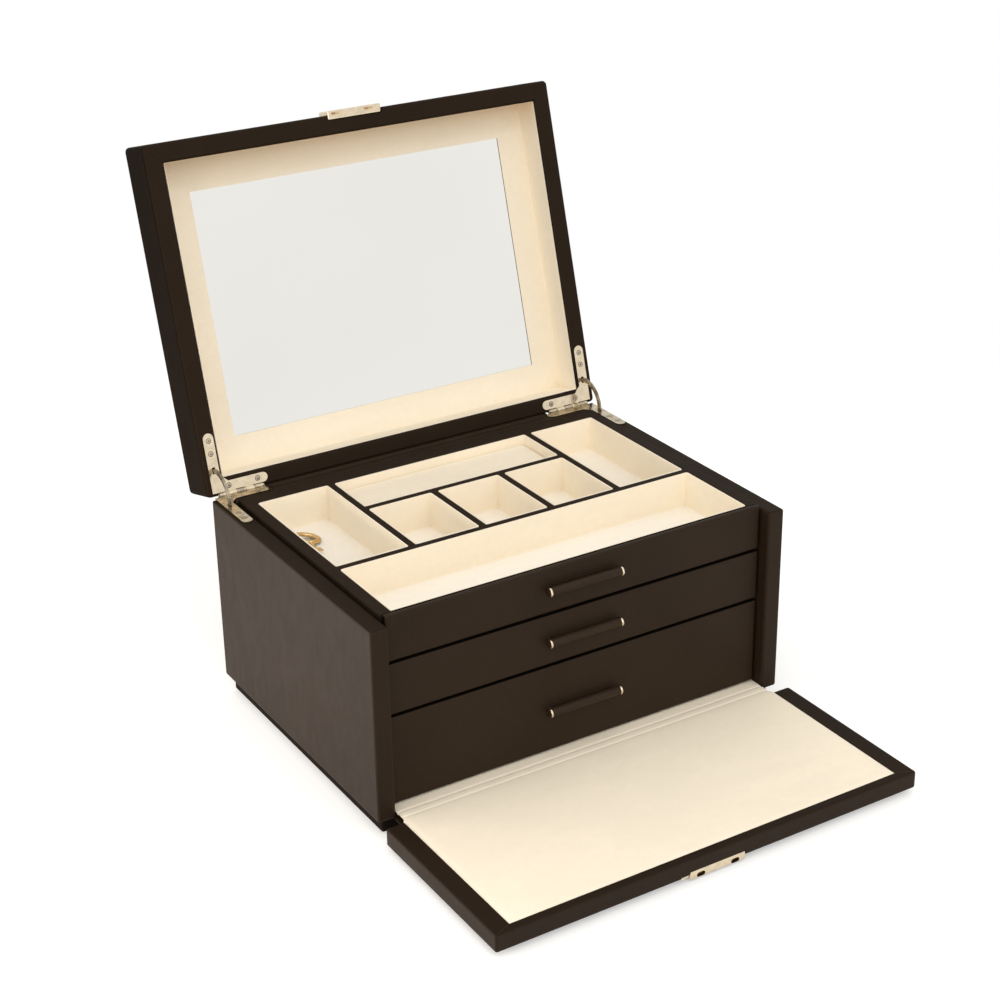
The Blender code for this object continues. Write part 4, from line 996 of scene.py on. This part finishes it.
class JEWELBOX_OT_line_flap(bpy.types.Operator):
    """Line the flap and lay the soft strips across its fold"""
    bl_idname = "jewelbox.line_flap"
    bl_label = "Line the flap"

    def execute(self, context):
        sizes = context.scene.jewel_box_sizes
        self.lay_cloth(sizes.strip)
        self.lay_spine(sizes.spine)
        return {"FINISHED"}

    def lay_cloth(self, thick):
        """One suede over the sill, the fold and the flap: two creases with a low ridge between them."""
        low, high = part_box("hinge_strip_suede")
        panel_low, panel_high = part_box("flap_lining")
        flat = panel_high.z - CLOTH_SINK
        knots = [(-high.y, flat - CLOTH_REAR_DIP), *((place, flat - dip) for place, dip in CLOTH_KNOTS),
                 (-panel_low.y, flat)]
        count = int((high.y + CLOTH_FINE_TO) / CLOTH_ROW) + 1
        rows = [high.y - CLOTH_ROW * i for i in range(count)]
        step = (rows[-1] - panel_low.y) / CLOTH_FLAP_ROWS
        rows += [rows[-1] - step * (i + 1) for i in range(CLOTH_FLAP_ROWS)]
        rows[-1:] = [panel_low.y + 0.0009, panel_low.y + 0.0003, panel_low.y]
        bm = cloth_over(rows, knots, high.x, panel_high.x, thick)
        cloth = make_piece("flap_and_sill_suede", bm, "cream_suede", None,
                           ("hinge_strip_suede", "flap_lining"), 60.0)
        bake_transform(cloth)

    def lay_spine(self, thick):
        """Leather outside the fold, sagging a little between the plinth and the flap."""
        low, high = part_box("hinge_spine_leather")
        top = high.z - 0.0001
        half = high.x - SPINE_INSET
        heights = [(share, top - sag) for share, sag in SPINE_SAG]
        bm = soft_band(half, high.y, low.y, heights, thick)
        spine = make_piece("fold_spine_leather", bm, "calf_leather", None,
                           ("hinge_spine_leather",), 60.0)
        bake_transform(spine)


class JEWELBOX_OT_lay_base(bpy.types.Operator):
    """Lay the felt under the plinth"""
    bl_idname = "jewelbox.lay_base"
    bl_label = "Lay the base felt"

    def execute(self, context):
        low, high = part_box("base_felt")
        bm = box_shape(low, high)
        round_off(bm, uprights(bm), FELT_CORNER, 5)
        round_off(bm, face_at(bm, 2, low.z).edges, FELT_EDGE, 2)
        felt = make_piece("base_felt_sheet", bm, "base_felt_black", "case", ("base_felt",))
        return {"FINISHED"}


class JEWELBOX_OT_set_screws(bpy.types.Operator):
    """Set the screws in the hinge leaves"""
    bl_idname = "jewelbox.set_screws"
    bl_label = "Set the screws"

    def execute(self, context):
        radius = context.scene.jewel_box_sizes.screw
        case_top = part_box("side_panel_left")[1].z + CASE_LEAF_FACE
        lid_face = LID_PIVOT.z + LID_LEAF_FACE
        flip = Matrix.Rotation(math.pi, 4, "X")
        leaves = (("lid", LID_OPENING, lid_face, flip, LID_SCREWS, LID_SCREW_TURNS),
                  ("case", Matrix(), case_top, Matrix(), CASE_SCREWS, CASE_SCREW_TURNS))
        for side, word in SIDES:
            for body, swing, z, turn, spots, (first, step) in leaves:
                places = [swing @ Matrix.Translation((side * x, LID_PIVOT.y - out, z)) @ turn
                          @ Matrix.Rotation(first + i * step, 4, "Z") for i, (x, out) in enumerate(spots)]
                self.set_row(f"{body}_screws_{word}", places, radius * HEAD_SHARE, HEAD_PROUD,
                             "screw_metal", body)
                # A near-black disc just under each head: painted shade of the countersink
                self.set_row(f"{body}_screw_shade_rings_{word}", places, radius, SHADE_RING_PROUD, "screw_well", body)
        return {"FINISHED"}

    def set_row(self, name, places, radius, proud, finish, body):
        """One leaf's screws, their cross recesses near-black like the discs under the heads: painted shade.
        """
        heads = [screw_head(radius, proud) for _ in places]
        for head, place in zip(heads, places):
            carry(head, place)
        row = make_piece(name, joined(heads), finish, body, sharp=30.0)
        row.data.materials.append(finish_named("screw_well"))


class JEWELBOX_OT_lay_key(bpy.types.Operator):
    """Lay the small key in the left compartment"""
    bl_idname = "jewelbox.lay_key"
    bl_label = "Lay the key"

    def execute(self, context):
        low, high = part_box("key")
        bm = joined([self.bow(), self.stem(), self.bit()])
        place = Matrix.Translation((high.x - KEY_PLACE[0], high.y - KEY_PLACE[1], low.z + KEY_WIRE))
        turn = Matrix.Rotation(KEY_TURN, 4, "Z") @ Matrix.Rotation(KEY_TILT, 4, "X")
        carry(bm, place @ turn)
        lift = low.z + 0.0001 - min(v.co.z for v in bm.verts)
        shift(bm, (0, 0, lift))
        make_piece("brass_key", bm, "key_brass", "top_drawer", ("key",), 50.0)
        return {"FINISHED"}

    def bow(self):
        """An oval ring, spun from a wire's round section."""
        bm = bmesh.new()
        made = bmesh.ops.create_circle(bm, segments=12, radius=KEY_WIRE)
        turn = Matrix.Translation((BOW_RADIUS, 0, 0)) @ Matrix.Rotation(math.pi / 2, 4, "X")
        bmesh.ops.transform(bm, matrix=turn @ Matrix.Diagonal((BOW_WIDTH, 1.0, 1.0, 1.0)),
                            verts=made["verts"])
        bmesh.ops.spin(bm, geom=bm.verts[:] + bm.edges[:], cent=(0, 0, 0), axis=(0, 0, 1),
                       angle=math.tau, steps=40, use_merge=True, use_duplicate=False)
        bmesh.ops.remove_doubles(bm, verts=bm.verts, dist=1e-6)
        bmesh.ops.scale(bm, vec=BOW_OVAL, verts=bm.verts)
        face_out(bm)
        return bm

    def stem(self):
        """The round shank, with a collar near the bow."""
        start, end, radius, collar = STEM_START, STEM_END, STEM_RADIUS, STEM_RADIUS * COLLAR_SHARE
        profile = ((start, 0), (start, radius), (start + 0.0016, radius), (start + 0.0019, collar),
                   (start + 0.0029, collar), (start + 0.0032, radius), (end - 0.0004, radius),
                   (end, radius * 0.7), (end, 0))
        return turned_along_x(profile, 14)

    def bit(self):
        """Two flat teeth on the shank's side."""
        teeth = []
        for near, far, reach in TEETH:
            tooth = box_shape((near, TOOTH_HALF, -TOOTH_HALF), (far, reach, TOOTH_HALF))
            round_off(tooth, tooth.edges[:], TOOTH_ROUND, 2)
            teeth.append(tooth)
        return joined(teeth)


class JEWELBOX_OT_fold_seams(bpy.types.Operator):
    """Fold the leather at the corners of the lid's rim and the flap's border"""
    bl_idname = "jewelbox.fold_seams"
    bl_label = "Fold corner seams"

    def execute(self, context):
        width = context.scene.jewel_box_sizes.seam
        low, high = closed_box("lid_frame")
        bm = corner_seams(low, high, *closed_box("lid_lining"), low.z, (0, 0, -1), width)
        carry(bm, LID_OPENING)
        # The lid's seams take the lid's darker leather: painted shade
        make_piece("lid_corner_seams", bm, "lid_leather", "lid", sharp=50.0)

        low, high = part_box("flap_board")
        bm = corner_seams(low, high, *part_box("flap_lining"), high.z, (0, 0, 1), width)
        make_piece("flap_corner_seams", bm, "calf_leather", "flap", sharp=50.0)
        return {"FINISHED"}


class JEWELBOX_OT_set_stage(bpy.types.Operator):
    """Set the floor, the light and the camera"""
    bl_idname = "jewelbox.set_stage"
    bl_label = "Set the stage"

    def execute(self, context):
        self.lay_floor()
        self.light_world(context.scene)
        for lamp in LAMPS:
            self.hang_lamp(*lamp)
        self.place_camera(context.scene)
        context.scene.cycles.caustics_reflective = False
        context.scene.view_settings.view_transform = "Standard"
        return {"FINISHED"}

    def seen(self, tree):
        """1 for what the camera, a reflection or glass sees."""
        path = put(tree, "ShaderNodeLightPath").outputs
        total = path["Is Camera Ray"]
        for name in ("Is Glossy Ray", "Is Transmission Ray"):
            total = put(tree, "ShaderNodeMath", {0: total, 1: path[name]}, operation="MAXIMUM").outputs[0]
        return total

    def mix_to_output(self, tree, kind, factor, first, second):
        """Mixes two shaders by a factor and sends them to the output."""
        mix = put(tree, "ShaderNodeMixShader", {0: factor, 1: first.outputs[0], 2: second.outputs[0]})
        put(tree, kind, {"Surface": mix.outputs[0]})

    def lay_floor(self):
        """A floor that takes the shadow near the box and is plain white further out."""
        bm = bmesh.new()
        bmesh.ops.create_grid(bm, x_segments=2, y_segments=2, size=4.0)
        shift(bm, (0, 0, -FLOOR_DROP))
        floor = set_down("floor", mesh_of("floor", bm))
        mat = bpy.data.materials.new("white_floor")
        mat.use_nodes = True
        tree = mat.node_tree
        tree.nodes.clear()
        tone = mix_colours(tree, self.seen(tree), FLOOR_LIT, FLOOR_SEEN)
        cloth = put(tree, "ShaderNodeBsdfDiffuse", {"Color": tone})
        lift = remap(tree, self.seen(tree), (0, 1), (0.0, FLOOR_GLOW))
        glow = put(tree, "ShaderNodeEmission", {"Color": WHITE, "Strength": lift})
        lit = put(tree, "ShaderNodeAddShader", {0: cloth.outputs[0], 1: glow.outputs[0]})
        white = put(tree, "ShaderNodeEmission", {"Color": WHITE, "Strength": 1.0})
        coords = put(tree, "ShaderNodeTexCoord").outputs["Object"]
        length = put(tree, "ShaderNodeVectorMath", {0: coords}, operation="LENGTH").outputs["Value"]
        far = remap(tree, length, WHITE_BEYOND, (0, 1))
        share = put(tree, "ShaderNodeMath", {0: far, 1: self.seen(tree)}, operation="MULTIPLY")
        self.mix_to_output(tree, "ShaderNodeOutputMaterial", share.outputs[0], lit, white)
        floor.data.materials.append(mat)

    def light_world(self, scene):
        """A white tent that lights the box, seen as plain white."""
        world = bpy.data.worlds.new("white_tent")
        scene.world = world
        world.use_nodes = True
        tree = world.node_tree
        tree.nodes.clear()
        tent = put(tree, "ShaderNodeBackground", {"Color": (1.0, 0.985, 0.96, 1.0), "Strength": 0.93})
        white = put(tree, "ShaderNodeBackground", {"Color": WHITE, "Strength": 1.0})
        self.mix_to_output(tree, "ShaderNodeOutputWorld", self.seen(tree), tent, white)

    def hang_lamp(self, name, place, target, sides, power, colour):
        data = bpy.data.lights.new(name, "AREA")
        data.shape = "RECTANGLE"
        data.size, data.size_y = sides
        data.energy = power
        data.color = colour
        lamp = set_down(name, data)
        lamp.location = place
        lamp.rotation_euler = (Vector(target) - Vector(place)).to_track_quat("-Z", "Y").to_euler()
        lamp.visible_camera = False

    def place_camera(self, scene):
        data = bpy.data.cameras.new("camera")
        data.sensor_width = CAMERA_SENSOR
        data.lens = CAMERA_LENS
        data.clip_start = 0.01
        data.clip_end = 50.0
        camera = set_down("camera", data)
        turn = Matrix((CAMERA_RIGHT, CAMERA_UP, CAMERA_BACK)).transposed().to_4x4()
        camera.matrix_world = Matrix.Translation(CAMERA_PLACE) @ turn
        scene.camera = camera


STEPS = ("set_stage", "cover_leather", "plate_fittings", "fit_handles", "line_tray", "line_drawers",
         "line_lid", "line_flap", "lay_base", "set_screws", "lay_key", "fold_seams")


class JEWELBOX_PT_panel(bpy.types.Panel):
    """Steps and settings of the jewelry box"""
    bl_idname = "JEWELBOX_PT_panel"
    bl_label = "Jewelry Box"
    bl_space_type = "VIEW_3D"
    bl_region_type = "UI"
    bl_category = "Jewelry Box"

    def draw(self, context):
        layout = self.layout
        for step in STEPS:
            layout.operator(f"jewelbox.{step}")
        for group in (context.scene.jewel_box_finishes, context.scene.jewel_box_sizes):
            box = layout.box()
            for name in group.bl_rna.properties.keys():
                if name not in ("rna_type", "name"):
                    box.prop(group, name)


CLASSES = (JewelBoxFinishes, JewelBoxSizes, JEWELBOX_OT_set_stage, JEWELBOX_OT_cover_leather,
           JEWELBOX_OT_plate_fittings, JEWELBOX_OT_fit_handles, JEWELBOX_OT_line_tray,
           JEWELBOX_OT_line_drawers, JEWELBOX_OT_line_lid, JEWELBOX_OT_line_flap, JEWELBOX_OT_lay_base,
           JEWELBOX_OT_set_screws, JEWELBOX_OT_lay_key, JEWELBOX_OT_fold_seams, JEWELBOX_PT_panel)


def register():
    for one in CLASSES:
        bpy.utils.register_class(one)
    bpy.types.Scene.jewel_box_finishes = PointerProperty(type=JewelBoxFinishes)
    bpy.types.Scene.jewel_box_sizes = PointerProperty(type=JewelBoxSizes)


def unregister():
    del bpy.types.Scene.jewel_box_finishes
    del bpy.types.Scene.jewel_box_sizes
    for one in reversed(CLASSES):
        bpy.utils.unregister_class(one)


def main():
    """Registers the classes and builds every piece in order."""
    register()
    for step in STEPS:
        getattr(bpy.ops.jewelbox, step)()
    bpy.context.view_layer.update()


if __name__ == "__main__":
    main()
